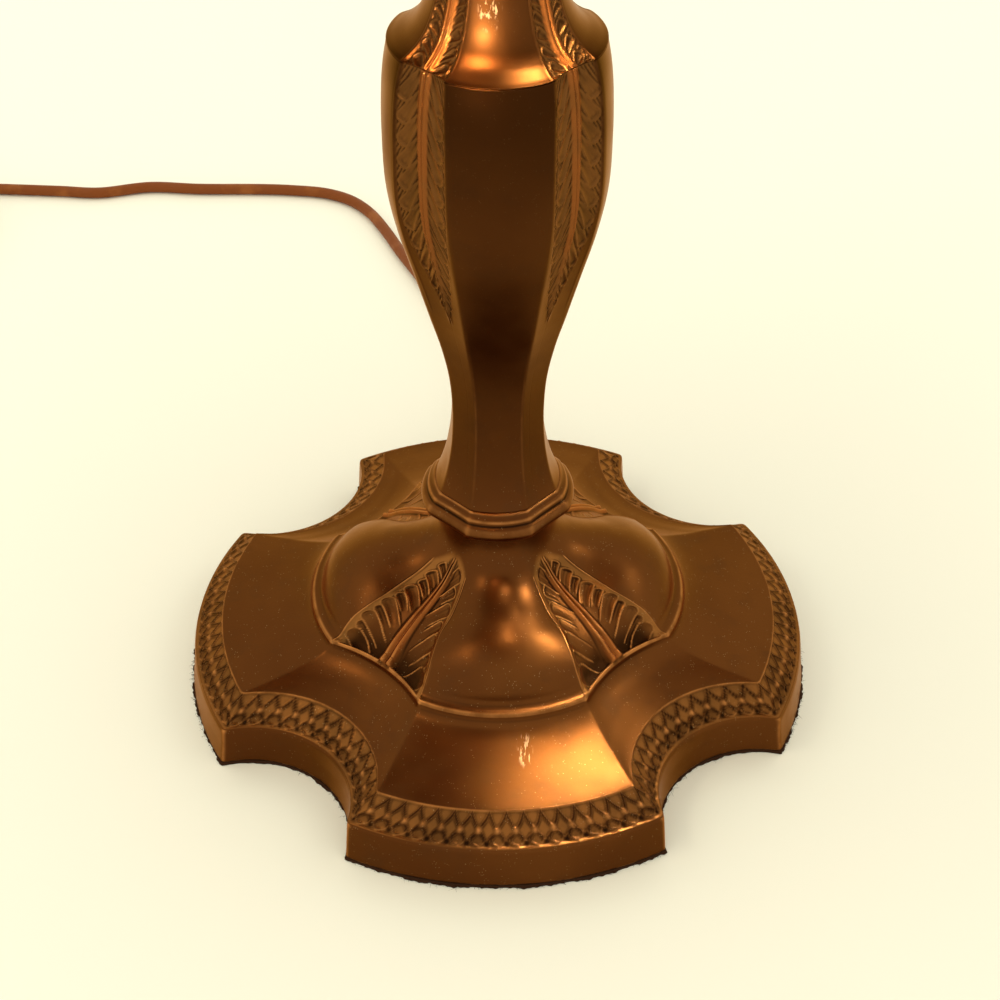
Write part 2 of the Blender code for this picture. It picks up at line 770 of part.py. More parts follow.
def make_glass(name, side, sections, look):
    """One pane behind its window: straight across, and bent down its height."""
    bm = bmesh.new()
    rows = []
    for radius, height in sections:
        half = radius * math.sin(math.pi / SIDES) - GLASS_INSET
        rows.append([bm.verts.new(side_point(side, across, radius, height)) for across in (-half, half)])
    for above, below in zip(rows, rows[1:]):
        bm.faces.new((below[0], below[1], above[1], above[0]))
    bm.normal_update()
    sunk = {vert: vert.co - vert.normal * GAP for vert in bm.verts}
    for vert, place in sunk.items():
        vert.co = place
    made = add_object(name, mesh_from(bm, name), look)
    shell = made.modifiers.new("Shell", "SOLIDIFY")
    shell.thickness = GLASS_T
    shell.offset = -1
    shell.use_even_offset = True


def make_panes():
    last = CROWN_ROWS - 1
    crown = []
    for step in range(CROWN_ROWS):
        crown.append(crown_section(PANE_FIRST + (PANE_LAST - PANE_FIRST) * step / last))
    skirt = [skirt_section(t) for t in (0.07, 0.50, 0.93)]
    for side in range(SIDES):
        make_glass(f"crown_pane_{side + 1}", side, crown, ((0.78, 0.50, 0.20), 0.15, 0.0))
        make_glass(f"skirt_pane_{side + 1}", side, skirt, ((0.22, 0.42, 0.20), 0.15, 0.0))


def make_shade_cap():
    """The turned cap that closes the shade's top, held down by the finial."""
    bore = RISER_R + GAP
    profile = (
        (bore, CAP_FLOOR_Z + CAP_T),
        (0.0125, CAP_FLOOR_Z + CAP_T),
        (0.0210, CAP_FLOOR_Z - 0.0005),
        (0.0290, CAP_FLOOR_Z - 0.0040),
        (0.0335, CAP_Z + 0.0015),
        (0.0350, CAP_Z + 0.0010),
        (0.0350, CAP_Z),
        (0.0325, CAP_Z),
        (0.0280, CAP_FLOOR_Z - 0.0050),
        (0.0205, CAP_FLOOR_Z - 0.0015),
        (0.0125, CAP_FLOOR_Z),
        (bore, CAP_FLOOR_Z),
    )
    turned("shade_cap", profile, (PATINA, 0.42, 0.85), steps=18)


def make_finial():
    bottom = CAP_FLOOR_Z + CAP_T + GAP
    bore = RISER_R + GAP
    profile = (
        (0.0, bottom + FINIAL_HEIGHT),
        (0.0020, bottom + 0.0370),
        (0.0030, bottom + 0.0345),
        (0.0070, bottom + 0.0300),
        (0.0088, bottom + 0.0235),
        (0.0070, bottom + 0.0170),
        (0.0042, bottom + 0.0135),
        (0.0042, bottom + 0.0115),
        (0.0062, bottom + 0.0095),
        (0.0070, bottom + 0.0045),
        (0.0100, bottom + 0.0020),
        (0.0100, bottom),
        (bore, bottom),
        (bore, RISER_TOP + GAP),
        (0.0, RISER_TOP + GAP),
    )
    turned("finial", profile, (BRASS, 0.35, 0.9), closed=False)


# ---------------------------------------------------------------- cord
def coil_centre():
    return Vector((COIL_X, COIL_BACK_Y - COIL_R + CORD_R, 0.0))


CORD_ROUTE = (
    (0.0000, BUSHING_TIP_Y + GAP, BUSHING_Z),
    (-0.0003, 0.1520, 0.0084),
    (-0.0012, 0.1680, 0.0052),
    (-0.0038, 0.1870, 0.0031),
    (-0.0092, 0.2090, 0.0028),
    (-0.0165, 0.2310, 0.0028),
    (-0.0245, 0.2515, 0.0028),
    (-0.0325, 0.2705, 0.0028),
    (-0.0408, 0.2897, 0.0028),
    (-0.0486, 0.3094, 0.0028),
    (-0.0565, 0.3260, 0.0028),
    (-0.0668, 0.3385, 0.0028),
    (-0.0800, 0.3460, 0.0028),
    (-0.0955, 0.3492, 0.0028),
    (-0.1143, 0.3511, 0.0028),
    (-0.1457, 0.3522, 0.0028),
    (-0.1722, 0.3548, 0.0028),
    (-0.1975, 0.3500, 0.0028),
    (-0.2187, 0.3522, 0.0028),
    (-0.2503, 0.3552, 0.0028),
    (-0.2660, 0.3560, 0.0028),
    (-0.2800, 0.3560, 0.0028),
)
CORD_LOOK = ((0.10, 0.045, 0.02), 0.5, 0.0)


def make_cord():
    wire("cord_lead", smooth_route(CORD_ROUTE, 0.0125), CORD_R, CORD_LOOK)
    inner = COIL_TURN_R - COIL_COLUMNS * CORD_R
    height = COIL_LAYERS * 2 * CORD_R
    edge = 0.0020
    profile = (
        (inner + edge, height),
        (COIL_R - edge, height),
        (COIL_R, height - edge),
        (COIL_R, edge),
        (COIL_R - edge, 0.0),
        (inner + edge, 0.0),
        (inner, edge),
        (inner, height - edge),
    )
    coil = turned("cord_coil", profile, CORD_LOOK, steps=20)
    coil.location = coil_centre()


def plug_start():
    """Where the cord enters the plug: the coil's left side, heading towards -Y."""
    centre = coil_centre()
    return Vector((centre.x - COIL_R + CORD_R, centre.y - PLUG_SETBACK, PLUG_Z))


def make_plug():
    start = plug_start()
    sections = (
        (0.0000, 0.0032, 0.0032),
        (PLUG_TAIL, 0.0045, 0.0042),
        (PLUG_TAIL + 0.006, PLUG_WIDTH / 2 - 0.002, PLUG_THICK / 2 - 0.0005),
        (PLUG_TAIL + 0.010, PLUG_WIDTH / 2, PLUG_THICK / 2),
        (PLUG_TAIL + PLUG_BODY - 0.001, PLUG_WIDTH / 2, PLUG_THICK / 2),
        (PLUG_TAIL + PLUG_BODY, PLUG_WIDTH / 2 - 0.001, PLUG_THICK / 2 - 0.001),
    )
    bm = bmesh.new()
    rings = []
    for along, half_x, half_z in sections:
        ring = []
        for step in range(16):
            angle = 2 * math.pi * step / 16
            x = half_x * math.copysign(abs(math.cos(angle)) ** 0.6, math.cos(angle))
            z = half_z * math.copysign(abs(math.sin(angle)) ** 0.6, math.sin(angle))
            ring.append(bm.verts.new((x, -along, z)))
        rings.append(ring)
    for near, far in zip(rings, rings[1:]):
        for j in range(16):
            k = (j + 1) % 16
            bm.faces.new((near[j], near[k], far[k], far[j]))
    bm.faces.new(rings[0][::-1])
    bm.faces.new(rings[-1])
    body = add_object("plug_body", mesh_from(bm, "plug_body"), ((0.07, 0.035, 0.02), 0.4, 0.0))
    body.location = start
    for word, side in (("left", -1), ("right", 1)):
        bm = bmesh.new()
        bmesh.ops.create_cube(bm, size=1.0)
        bmesh.ops.scale(bm, vec=BLADE, verts=bm.verts)
        blade = add_object(f"plug_blade_{word}", mesh_from(bm, "plug_blade"), (BRASS, 0.3, 0.95))
        front = start.y - PLUG_TAIL - PLUG_BODY - GAP
        blade.location = (start.x + side * BLADE_PITCH / 2, front - BLADE[1] / 2, PLUG_Z)


# ---------------------------------------------------------------- build
def build():
    make_foot()
    make_felt()
    make_foot_fixings()
    make_cord_bushing()
    make_collar()
    make_hollow_casting("stem_body", STEM_ROWS)
    make_hollow_casting("stem_neck", NECK_ROWS)
    make_neck_cap()
    make_pipe()
    make_inner_leads()
    make_cluster_body()
    for word, side in (("left", -1), ("right", 1)):
        make_socket(word, side)
        make_pull(word, side)
        make_bulb(word, side)
    make_riser()
    make_shade_frame()
    make_panes()
    make_shade_cap()
    make_finial()
    make_cord()
    make_plug()


for existing in list(bpy.data.objects):
    bpy.data.objects.remove(existing)
PARTS = collection("stained_glass_table_lamp")
CUTTERS = collection("cutters")
build()
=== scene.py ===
import json
import math

import bpy
import numpy as np
from mathutils import Matrix, Vector


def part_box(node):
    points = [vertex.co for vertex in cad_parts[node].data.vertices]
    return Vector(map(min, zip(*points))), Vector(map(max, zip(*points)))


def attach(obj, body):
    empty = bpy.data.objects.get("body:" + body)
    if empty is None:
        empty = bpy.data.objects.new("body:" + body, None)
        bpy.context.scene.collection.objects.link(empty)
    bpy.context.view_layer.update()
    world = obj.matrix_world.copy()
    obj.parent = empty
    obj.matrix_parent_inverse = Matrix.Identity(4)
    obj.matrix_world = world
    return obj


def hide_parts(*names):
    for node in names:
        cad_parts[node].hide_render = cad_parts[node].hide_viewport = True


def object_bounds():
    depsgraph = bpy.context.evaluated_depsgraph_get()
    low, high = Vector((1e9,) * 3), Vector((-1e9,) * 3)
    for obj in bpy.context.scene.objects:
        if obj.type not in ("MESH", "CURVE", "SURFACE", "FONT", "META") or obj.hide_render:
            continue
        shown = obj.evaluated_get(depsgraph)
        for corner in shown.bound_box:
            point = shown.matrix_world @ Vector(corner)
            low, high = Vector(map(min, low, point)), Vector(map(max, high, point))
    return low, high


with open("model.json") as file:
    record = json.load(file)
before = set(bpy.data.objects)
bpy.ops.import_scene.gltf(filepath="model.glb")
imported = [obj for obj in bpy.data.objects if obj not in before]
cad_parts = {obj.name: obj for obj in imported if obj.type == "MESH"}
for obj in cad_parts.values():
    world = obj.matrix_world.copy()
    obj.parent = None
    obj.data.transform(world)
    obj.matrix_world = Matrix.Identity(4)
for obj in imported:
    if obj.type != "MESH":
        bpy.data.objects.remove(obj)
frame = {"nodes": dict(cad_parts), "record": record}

CAD_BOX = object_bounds()

# ---------------------------------------------------------------- sizes, in metres unless said
MM = 0.001
FOOT_R = 0.118            # the castings' tables are fractions of this
WALL = 0.0026
PIPE_HOLE = 0.0056
SIDE_COUNT = 8            # four wide lobes, four diagonal sides
EVEN_ANGLE = 22.5         # degrees from a side's middle to its corner on a round row

GAP = 0.0003              # air between neighbouring parts
PIPE_R = 0.0050
PIPE_BOTTOM = 0.064
PIPE_TOP = 0.398
CLUSTER_Z = 0.404         # where the two socket arms' axes cross the lamp's axis
SOCKET_TILT = math.radians(55)
RISER_R = 0.0032
RISER_TOP = 0.600
ARM_R = 0.0046
ARM_START = 0.0100
ARM_END = 0.0290
SHELL_R = 0.0159          # socket shell
SHEET = 0.0008
GUIDE_S = 0.0500          # the pull guide's place along the socket
GUIDE_END = -0.0270
LINK_OUT = 0.0012
LINK_DROP = 0.0030
LINK_LENGTH = 0.0072
CHAIN_LENGTH = 0.0780
CHAIN_R = 0.0012
BULB_GLASS_T = 0.0008

SIDES = 6                 # sides of the shade
HALF_SIDE = math.sin(math.pi / SIDES)     # half a side's width, as a share of the corner radius
APOTHEM = math.cos(math.pi / SIDES)       # distance to a side's middle, as a share of the corner radius
SHADE_TOP_R = 0.040
SHADE_TOP_Z = 0.575
CROWN_R = 0.186
CROWN_Z = 0.418
RIM_R = 0.203
RIM_Z = 0.385
CROWN_START = math.radians(14)
CROWN_END = math.radians(78)
FRAME_T = 0.0016
GLASS_T = 0.0028
GLASS_INSET = 0.0035
TOP_BAND = 0.055
MID_BAND_CROWN = 0.965
MID_BAND_SKIRT = 0.18
RIM_BAND = 0.76
PANE_FIRST = 0.025
PANE_LAST = 0.988
SHADE_TOP_FLAT = 0.010
SHADE_TOP_RISE = 0.0005
CAP_Z = SHADE_TOP_Z + SHADE_TOP_RISE + FRAME_T + GAP
CAP_FLOOR_Z = CAP_Z + 0.0090
CAP_T = 0.0010

BUSHING_Z = 0.0093
BUSHING_INNER_Y = 0.1118
BUSHING_LENGTH = 0.0285

CORD_R = 0.00275
COIL_X = -0.2990
COIL_BACK_Y = 0.3560
COIL_RADII = (0.0355, 0.0300, 0.0245)
COIL_MIDDLE = Vector((COIL_X, COIL_BACK_Y - COIL_RADII[0], 0.0))

FOOT_SCUFF = (0.0075, -0.0818, 0.0303)    # middles of the two scratched places
NECK_SCUFF = (-0.0028, -0.0206, 0.2896)

CORD_LIES = 0.0028        # height of the cord's middle where it lies on the table
CORD_ROUTE = (
    (0.0000, 0.1406, 0.0093), (-0.0003, 0.1520, 0.0084), (-0.0012, 0.1680, 0.0052),
    (-0.0038, 0.1870, 0.0031),
    *((x, y, CORD_LIES) for x, y in (
        (-0.0092, 0.2090), (-0.0165, 0.2310), (-0.0245, 0.2515), (-0.0325, 0.2705), (-0.0408, 0.2897),
        (-0.0486, 0.3094), (-0.0565, 0.3260), (-0.0668, 0.3385), (-0.0800, 0.3460), (-0.0955, 0.3492),
        (-0.1143, 0.3511), (-0.1457, 0.3522), (-0.1722, 0.3548), (-0.1975, 0.3500), (-0.2187, 0.3522),
        (-0.2503, 0.3552), (-0.2660, 0.3560), (-0.2800, 0.3560),
    )),
)


# ---------------------------------------------------------------- numbers
def ease(low, high, value):
    """0 below low, 1 above high, smooth between."""
    share = np.clip((value - low) / (high - low), 0.0, 1.0)
    return share * share * (3 - 2 * share)


def bump_line(distance, width):
    """1 at no distance, falling away smoothly over about the width."""
    return np.exp(-((distance / width) ** 2))


def smooth_table(table, samples):
    """Catmull-Rom through the rows of a table, at samples given in row numbers."""
    rows = np.asarray(table, dtype=float)
    padded = np.vstack((2 * rows[0] - rows[1], rows, 2 * rows[-1] - rows[-2]))
    first = np.clip(np.floor(samples).astype(int), 0, len(rows) - 2)
    t = (samples - first)[:, None]
    a, b, c, d = (padded[first + k] for k in range(4))
    return 0.5 * (2 * b + (c - a) * t + (2 * a - 5 * b + 4 * c - d) * t ** 2
                  + (3 * b - a - 3 * c + d) * t ** 3)


def smooth_path(points, spacing):
    """Evenly spaced points on a smooth curve through the given ones."""
    points = np.asarray(points, dtype=float)
    fine = smooth_table(points, np.linspace(0, len(points) - 1, 24 * len(points)))
    walked = np.concatenate(([0.0], np.cumsum(np.linalg.norm(np.diff(fine, axis=0), axis=1))))
    count = max(2, int(round(walked[-1] / spacing)) + 1)
    even = np.linspace(0, walked[-1], count)
    return np.stack([np.interp(even, walked, fine[:, k]) for k in range(3)], axis=1)


# ---------------------------------------------------------------- node materials
class Nodes:
    """Short names for building one material's node tree."""

    def __init__(self, name):
        self.material = bpy.data.materials.new(name)
        self.material.use_nodes = True
        self.tree = self.material.node_tree
        self.shader = self.tree.nodes["Principled BSDF"]
        self.place = self.tree.nodes.new("ShaderNodeTexCoord").outputs["Object"]

    def link(self, value, socket):
        """Links another node's output to a socket, or writes a plain value into it."""
        if isinstance(value, bpy.types.NodeSocket):
            self.tree.links.new(value, socket)
        else:
            socket.default_value = value

    def set(self, **values):
        """Plain values or links on the shader's own sockets. Underscores stand for spaces."""
        for name, value in values.items():
            self.link(value, self.shader.inputs[name.replace("_", " ")])

    def math(self, operation, first, second, clamp=False):
        node = self.tree.nodes.new("ShaderNodeMath")
        node.operation = operation
        node.use_clamp = clamp
        self.link(first, node.inputs[0])
        self.link(second, node.inputs[1])
        return node.outputs[0]

    def times(self, first, second):
        return self.math("MULTIPLY", first, second)

    def plus(self, first, second, clamp=False):
        return self.math("ADD", first, second, clamp)

    def mix(self, share, first, second):
        """The first colour at share 0, the second at share 1."""
        node = self.tree.nodes.new("ShaderNodeMix")
        node.data_type = "RGBA"
        self.link(share, node.inputs[0])
        for colour, socket in ((first, node.inputs[6]), (second, node.inputs[7])):
            self.link(colour if isinstance(colour, bpy.types.NodeSocket) else (*colour, 1.0), socket)
        return node.outputs[2]

    def scaled(self, scale):
        node = self.tree.nodes.new("ShaderNodeMapping")
        self.link(self.place, node.inputs["Vector"])
        node.inputs["Scale"].default_value = scale
        return node.outputs[0]

    def noise(self, scale, detail, rough=0.55, vector=None, distortion=0.0):
        node = self.tree.nodes.new("ShaderNodeTexNoise")
        self.link(vector or self.place, node.inputs["Vector"])
        node.inputs["Scale"].default_value = scale
        node.inputs["Detail"].default_value = detail
        node.inputs["Roughness"].default_value = rough
        node.inputs["Distortion"].default_value = distortion
        return node.outputs["Fac"]

    def cells(self, scale):
        """Distance to the middle of the nearest cell."""
        node = self.tree.nodes.new("ShaderNodeTexVoronoi")
        self.link(self.place, node.inputs["Vector"])
        node.inputs["Scale"].default_value = scale
        return node.outputs["Distance"]

    def span(self, value, low, high, out_low=0.0, out_high=1.0):
        """Smoothly from out_low at low to out_high at high."""
        node = self.tree.nodes.new("ShaderNodeMapRange")
        node.interpolation_type = "SMOOTHSTEP"
        self.link(value, node.inputs["Value"])
        limits = {"From Min": low, "From Max": high, "To Min": out_low, "To Max": out_high}
        for name, number in limits.items():
            node.inputs[name].default_value = number
        return node.outputs[0]

    def attribute(self, name):
        """The four parts of a colour attribute."""
        node = self.tree.nodes.new("ShaderNodeAttribute")
        node.attribute_name = name
        parts = self.tree.nodes.new("ShaderNodeSeparateColor")
        self.link(node.outputs["Color"], parts.inputs[0])
        return (*parts.outputs, node.outputs["Alpha"])

    def height_above(self, low, high):
        """0 at the first height, 1 at the second, and level beyond them."""
        parts = self.tree.nodes.new("ShaderNodeSeparateXYZ")
        self.link(self.place, parts.inputs[0])
        return self.span(parts.outputs[2], low, high)

    def patch(self, middle, size):
        """1 near a point, 0 outside an ellipsoid round it."""
        node = self.tree.nodes.new("ShaderNodeMapping")
        self.link(self.place, node.inputs["Vector"])
        node.inputs["Scale"].default_value = [1 / part for part in size]
        node.inputs["Location"].default_value = [-where / part for where, part in zip(middle, size)]
        length = self.tree.nodes.new("ShaderNodeVectorMath")
        length.operation = "LENGTH"
        self.link(node.outputs[0], length.inputs[0])
        return self.span(length.outputs["Value"], 0.45, 1.0, 1.0, 0.0)

    def edge_on(self, low, high):
        """0 where the surface faces the viewer, 1 where it is seen edge on."""
        node = self.tree.nodes.new("ShaderNodeLayerWeight")
        node.inputs["Blend"].default_value = 0.5
        return self.span(node.outputs["Facing"], low, high)

    def scuff(self, middle, size, streaks):
        """Pale scratches inside a patch: fine noise drawn out along one axis."""
        lines = self.span(self.noise(1.0, 3.0, vector=self.scaled(streaks)), 0.53, 0.62)
        return self.times(self.patch(middle, size), lines)

    def bump(self, height, strength, distance):
        node = self.tree.nodes.new("ShaderNodeBump")
        node.inputs["Strength"].default_value = strength
        node.inputs["Distance"].default_value = distance
        self.link(height, node.inputs["Height"])
        self.link(node.outputs[0], self.shader.inputs["Normal"])


def dust(nodes, scale, share):
    """Small pale specks: a few cells of a fine cell pattern, each a dot at its cell's middle."""
    near = nodes.span(nodes.cells(scale), 0.12, 0.24, 1.0, 0.0)
    picked = nodes.math("GREATER_THAN", nodes.noise(scale * 0.37, 0.0), 1.0 - share)
    return nodes.times(near, picked)


# colours of the patina, with those of its painted shade, highlights and sheen
FOOT_BROWN = (0.092, 0.029, 0.0070)
FOOT_BROWN_PALE = (0.118, 0.039, 0.0090)
CLOUD_BROWN = (0.080, 0.030, 0.010)
STEM_BROWN = (0.032, 0.0095, 0.0022)
UPPER_STEM_SHADE = (0.010, 0.0030, 0.0008)
LEAF_GROUND = (0.270, 0.105, 0.026)
LEAF_GROUND_DARK = (0.180, 0.074, 0.019)
STEM_LEAF_GROUND = (0.075, 0.030, 0.009)
HOLLOW_PATINA_AND_SHADE = (0.016, 0.006, 0.0022)
WORN_COPPER_AND_HIGHLIGHT = (0.460, 0.180, 0.050)
VEIN_RED = (0.330, 0.095, 0.020)
SPECK_TAN = (0.50, 0.32, 0.15)
SCRATCH_PALE = (0.62, 0.40, 0.22)
EDGE_SHEEN = (0.430, 0.175, 0.065)
LOWER_STEM = (0.085, 0.115)       # heights over which the colour changes from part to part: the stem darker than the foot, the stem's top painted darker as shade, the neck apart
UPPER_STEM = (0.195, 0.268)
NECK_JOINT = (0.2715, 0.2695)


def make_patina():
    """Brown patina on cast metal, with painted light. The mesh says where it is worn, with painted
    highlights on the foot's lattice (R), hollow, darkened with patina and painted shade (G), leaf (B), vein
    (A). The stem's top is painted darker as shade, and surfaces seen edge on get a painted sheen.
    """
    nodes = Nodes("patina")
    worn, hollow, leaf, vein = nodes.attribute("patina")
    broad = nodes.noise(16.0, 3.0)
    medium = nodes.noise(75.0, 4.0)
    fine = nodes.noise(900.0, 2.0)
    high = nodes.height_above(*LOWER_STEM)
    stem_only = nodes.times(high, nodes.height_above(*NECK_JOINT))
    brown = nodes.mix(nodes.span(broad, 0.35, 0.68), FOOT_BROWN, FOOT_BROWN_PALE)
    brown = nodes.mix(nodes.span(medium, 0.50, 0.72, 0.0, 0.40), brown, CLOUD_BROWN)
    brown = nodes.mix(nodes.times(high, 0.42), brown, STEM_BROWN)
    # Painted shade: the stem's top darkened towards near black.
    top_shade = nodes.times(stem_only, nodes.height_above(*UPPER_STEM))
    brown = nodes.mix(nodes.times(top_shade, 0.60), brown, UPPER_STEM_SHADE)
    ground = nodes.mix(nodes.span(medium, 0.40, 0.65), LEAF_GROUND, LEAF_GROUND_DARK)
    ground = nodes.mix(nodes.times(high, 0.55), ground, STEM_LEAF_GROUND)
    colour = nodes.mix(nodes.times(leaf, 0.85), brown, ground)
    # Creases darkened: patina in the hollows, and painted shade.
    hollow_patina_and_shade = nodes.times(hollow, nodes.span(medium, 0.25, 0.60, 0.80, 1.0))
    colour = nodes.mix(hollow_patina_and_shade, colour, HOLLOW_PATINA_AND_SHADE)
    # Worn copper on edges, and painted highlights where the mesh carries them.
    rub_and_highlight = nodes.times(worn, nodes.span(nodes.noise(140.0, 3.0), 0.30, 0.62, 0.35, 0.90))
    colour = nodes.mix(rub_and_highlight, colour, WORN_COPPER_AND_HIGHLIGHT)
    veined = nodes.times(vein, nodes.span(medium, 0.30, 0.60, 0.30, 0.80))
    veined = nodes.times(veined, nodes.span(stem_only, 0.0, 1.0, 0.80, 0.62))
    colour = nodes.mix(veined, colour, VEIN_RED)
    specks = nodes.times(dust(nodes, 1100.0, 0.38), nodes.span(high, 0.0, 1.0, 0.30, 0.06))
    colour = nodes.mix(specks, colour, SPECK_TAN)
    foot_marks = nodes.scuff(FOOT_SCUFF, (0.0032, 0.0095, 0.004), (900.0, 170.0, 300.0))
    neck_marks = nodes.scuff(NECK_SCUFF, (0.0042, 0.0060, 0.0080), (800.0, 500.0, 260.0))
    marks = nodes.plus(foot_marks, neck_marks, clamp=True)
    colour = nodes.mix(nodes.times(marks, 0.6), colour, SCRATCH_PALE)
    # Painted reflection: surfaces seen edge on are painted paler, as a sheen.
    colour = nodes.mix(nodes.times(nodes.edge_on(0.42, 0.95), 0.45), colour, EDGE_SHEEN)
    nodes.set(Base_Color=colour, Metallic=1.0, IOR=1.45, Specular_Tint=(1.0, 0.72, 0.50, 1.0))
    rough = nodes.span(broad, 0.30, 0.70, 0.29, 0.36)
    rough = nodes.plus(rough, nodes.span(medium, 0.40, 0.70, 0.0, 0.07))
    rough = nodes.plus(rough, nodes.times(hollow, 0.18))
    rough = nodes.plus(rough, nodes.times(marks, 0.20), clamp=True)
    nodes.set(Roughness=rough)
    grain = nodes.plus(fine, nodes.times(medium, 0.8))
    nodes.bump(grain, 0.10, 0.0002)
    return nodes.material


def make_brass(name, colour, dark, roughness):
    """Plain metal with darker tarnish in patches."""
    nodes = Nodes(name)
    medium = nodes.noise(160.0, 3.0)
    tarnish = nodes.span(nodes.noise(60.0, 3.0), 0.45, 0.68, 0.0, 0.7)
    nodes.set(Base_Color=nodes.mix(tarnish, colour, dark), Metallic=1.0)
    nodes.set(Roughness=nodes.span(medium, 0.3, 0.7, roughness - 0.06, roughness + 0.10))
    nodes.bump(nodes.noise(1400.0, 2.0), 0.08, 0.0001)
    return nodes.material


def make_felt_look():
    nodes = Nodes("felt")
    strands = nodes.noise(1500.0, 3.0, distortion=1.5)
    nodes.set(Base_Color=nodes.mix(strands, (0.016, 0.006, 0.003), (0.050, 0.020, 0.009)))
    nodes.set(Roughness=0.95, Metallic=0.0, Specular_IOR_Level=0.1)
    nodes.bump(strands, 0.6, 0.0005)
    return nodes.material


def make_cord_look():
    nodes = Nodes("cord_brown")
    scuffs = nodes.span(nodes.noise(70.0, 4.0), 0.50, 0.72, 0.0, 0.6)
    colour = nodes.mix(scuffs, (0.200, 0.048, 0.0045), (0.330, 0.105, 0.018))
    nodes.set(Base_Color=colour, Roughness=nodes.span(nodes.noise(300.0, 2.0), 0.3, 0.7, 0.42, 0.60))
    nodes.set(Metallic=0.0, Specular_IOR_Level=0.20)
    nodes.bump(nodes.noise(1200.0, 2.0), 0.12, 0.0002)
    return nodes.material


def make_bakelite():
    nodes = Nodes("bakelite")
    swirl = nodes.noise(90.0, 4.0, distortion=2.0)
    nodes.set(Base_Color=nodes.mix(swirl, (0.030, 0.013, 0.007), (0.085, 0.034, 0.016)))
    nodes.set(Roughness=0.28, Metallic=0.0)
    nodes.bump(nodes.noise(800.0, 2.0), 0.04, 0.0001)
    return nodes.material


def make_plain(name, light, dark, scale, roughness, bump=0.2):
    """A mottled material that isn't metal."""
    nodes = Nodes(name)
    mottle = nodes.noise(scale, 4.0)
    nodes.set(Base_Color=nodes.mix(mottle, light, dark), Metallic=0.0, Roughness=roughness)
    nodes.bump(nodes.noise(scale * 6, 2.0), bump, 0.0002)
    return nodes.material


def make_slag_glass(name, pale, middle, deep, glow):
    """Streaky opal glass, lit from behind by the bulbs: its emission is painted light for the bulbs shining
    through it.
    """
    nodes = Nodes(name)
    long_way = nodes.scaled((1.0, 1.0, 0.35))
    streaks = nodes.noise(13.0, 6.0, 0.60, long_way, 2.6)
    wisps = nodes.noise(34.0, 5.0, 0.62, long_way, 3.2)
    colour = nodes.mix(nodes.span(streaks, 0.38, 0.62), deep, middle)
    colour = nodes.mix(nodes.span(wisps, 0.56, 0.74, 0.0, 0.65), colour, pale)
    # Painted light: the glass glows with its own colour, for the bulbs' light coming through.
    nodes.set(Base_Color=colour, Emission_Color=colour, Emission_Strength=glow)
    nodes.set(Roughness=0.14, Metallic=0.0, IOR=1.52, Specular_IOR_Level=0.5)
    ripple = nodes.plus(nodes.noise(45.0, 3.0, vector=long_way), nodes.noise(400.0, 1.0))
    nodes.bump(ripple, 0.09, 0.0010)
    return nodes.material


def make_bulb_glass():
    nodes = Nodes("bulb_glass")
    frost = nodes.noise(600.0, 2.0)
    nodes.set(Base_Color=nodes.mix(frost, (0.95, 0.90, 0.78), (0.90, 0.82, 0.66)), Roughness=0.28)
    nodes.set(Emission_Color=nodes.mix(frost, (1.0, 0.76, 0.42), (1.0, 0.70, 0.36)), Emission_Strength=1.5)
    nodes.set(Metallic=0.0, IOR=1.5)
    nodes.bump(frost, 0.05, 0.0001)
    return nodes.material


LOOKS = {}


def make_looks():
    """One look for each material slot."""
    LOOKS["patina_bronze"] = make_patina()
    LOOKS["socket_brass"] = make_brass("socket_brass", (0.46, 0.27, 0.10), (0.20, 0.10, 0.035), 0.34)
    LOOKS["chain_brass"] = make_brass("chain_brass", (0.62, 0.40, 0.16), (0.34, 0.20, 0.07), 0.26)
    LOOKS["zinc_steel"] = make_brass("zinc_steel", (0.42, 0.40, 0.36), (0.22, 0.20, 0.17), 0.42)
    LOOKS["felt"] = make_felt_look()
    LOOKS["bakelite"] = make_bakelite()
    LOOKS["cord_brown"] = make_cord_look()
    LOOKS["cardboard_liner"] = make_plain(
        "cardboard_liner", (0.34, 0.22, 0.12), (0.22, 0.14, 0.07), 220.0, 0.9
    )
    LOOKS["porcelain"] = make_plain("porcelain", (0.80, 0.76, 0.68), (0.70, 0.65, 0.56), 60.0, 0.22, 0.03)
    LOOKS["bulb_glass"] = make_bulb_glass()
    LOOKS["crown_glass"] = make_slag_glass(
        "crown_glass", (0.80, 0.52, 0.22), (0.52, 0.21, 0.045), (0.20, 0.055, 0.009), 0.30
    )
    LOOKS["skirt_glass"] = make_slag_glass(
        "skirt_glass", (0.34, 0.42, 0.16), (0.055, 0.17, 0.045), (0.014, 0.06, 0.020), 0.25
    )


# ---------------------------------------------------------------- pieces
def add_piece(name, data, slot, body="lamp", replaces=()):
    """A finished piece: its look, the body it rides on, and the CAD nodes it stands for."""
    made = bpy.data.objects.new(name, data)
    bpy.context.scene.collection.objects.link(made)
    data.materials.clear()
    data.materials.append(LOOKS[slot])
    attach(made, body)
    if replaces:
        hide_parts(*replaces)
    return made


def mesh_of(name, verts, faces, sharp=None):
    """A smooth-shaded mesh. Edges that bend by more than sharp, in degrees, stay sharp."""
    mesh = bpy.data.meshes.new(name)
    mesh.from_pydata([tuple(v) for v in verts], [], [tuple(f) for f in faces])
    mesh.validate()
    mesh.shade_smooth()
    if sharp:
        mesh.set_sharp_from_angle(angle=math.radians(sharp))
    return mesh


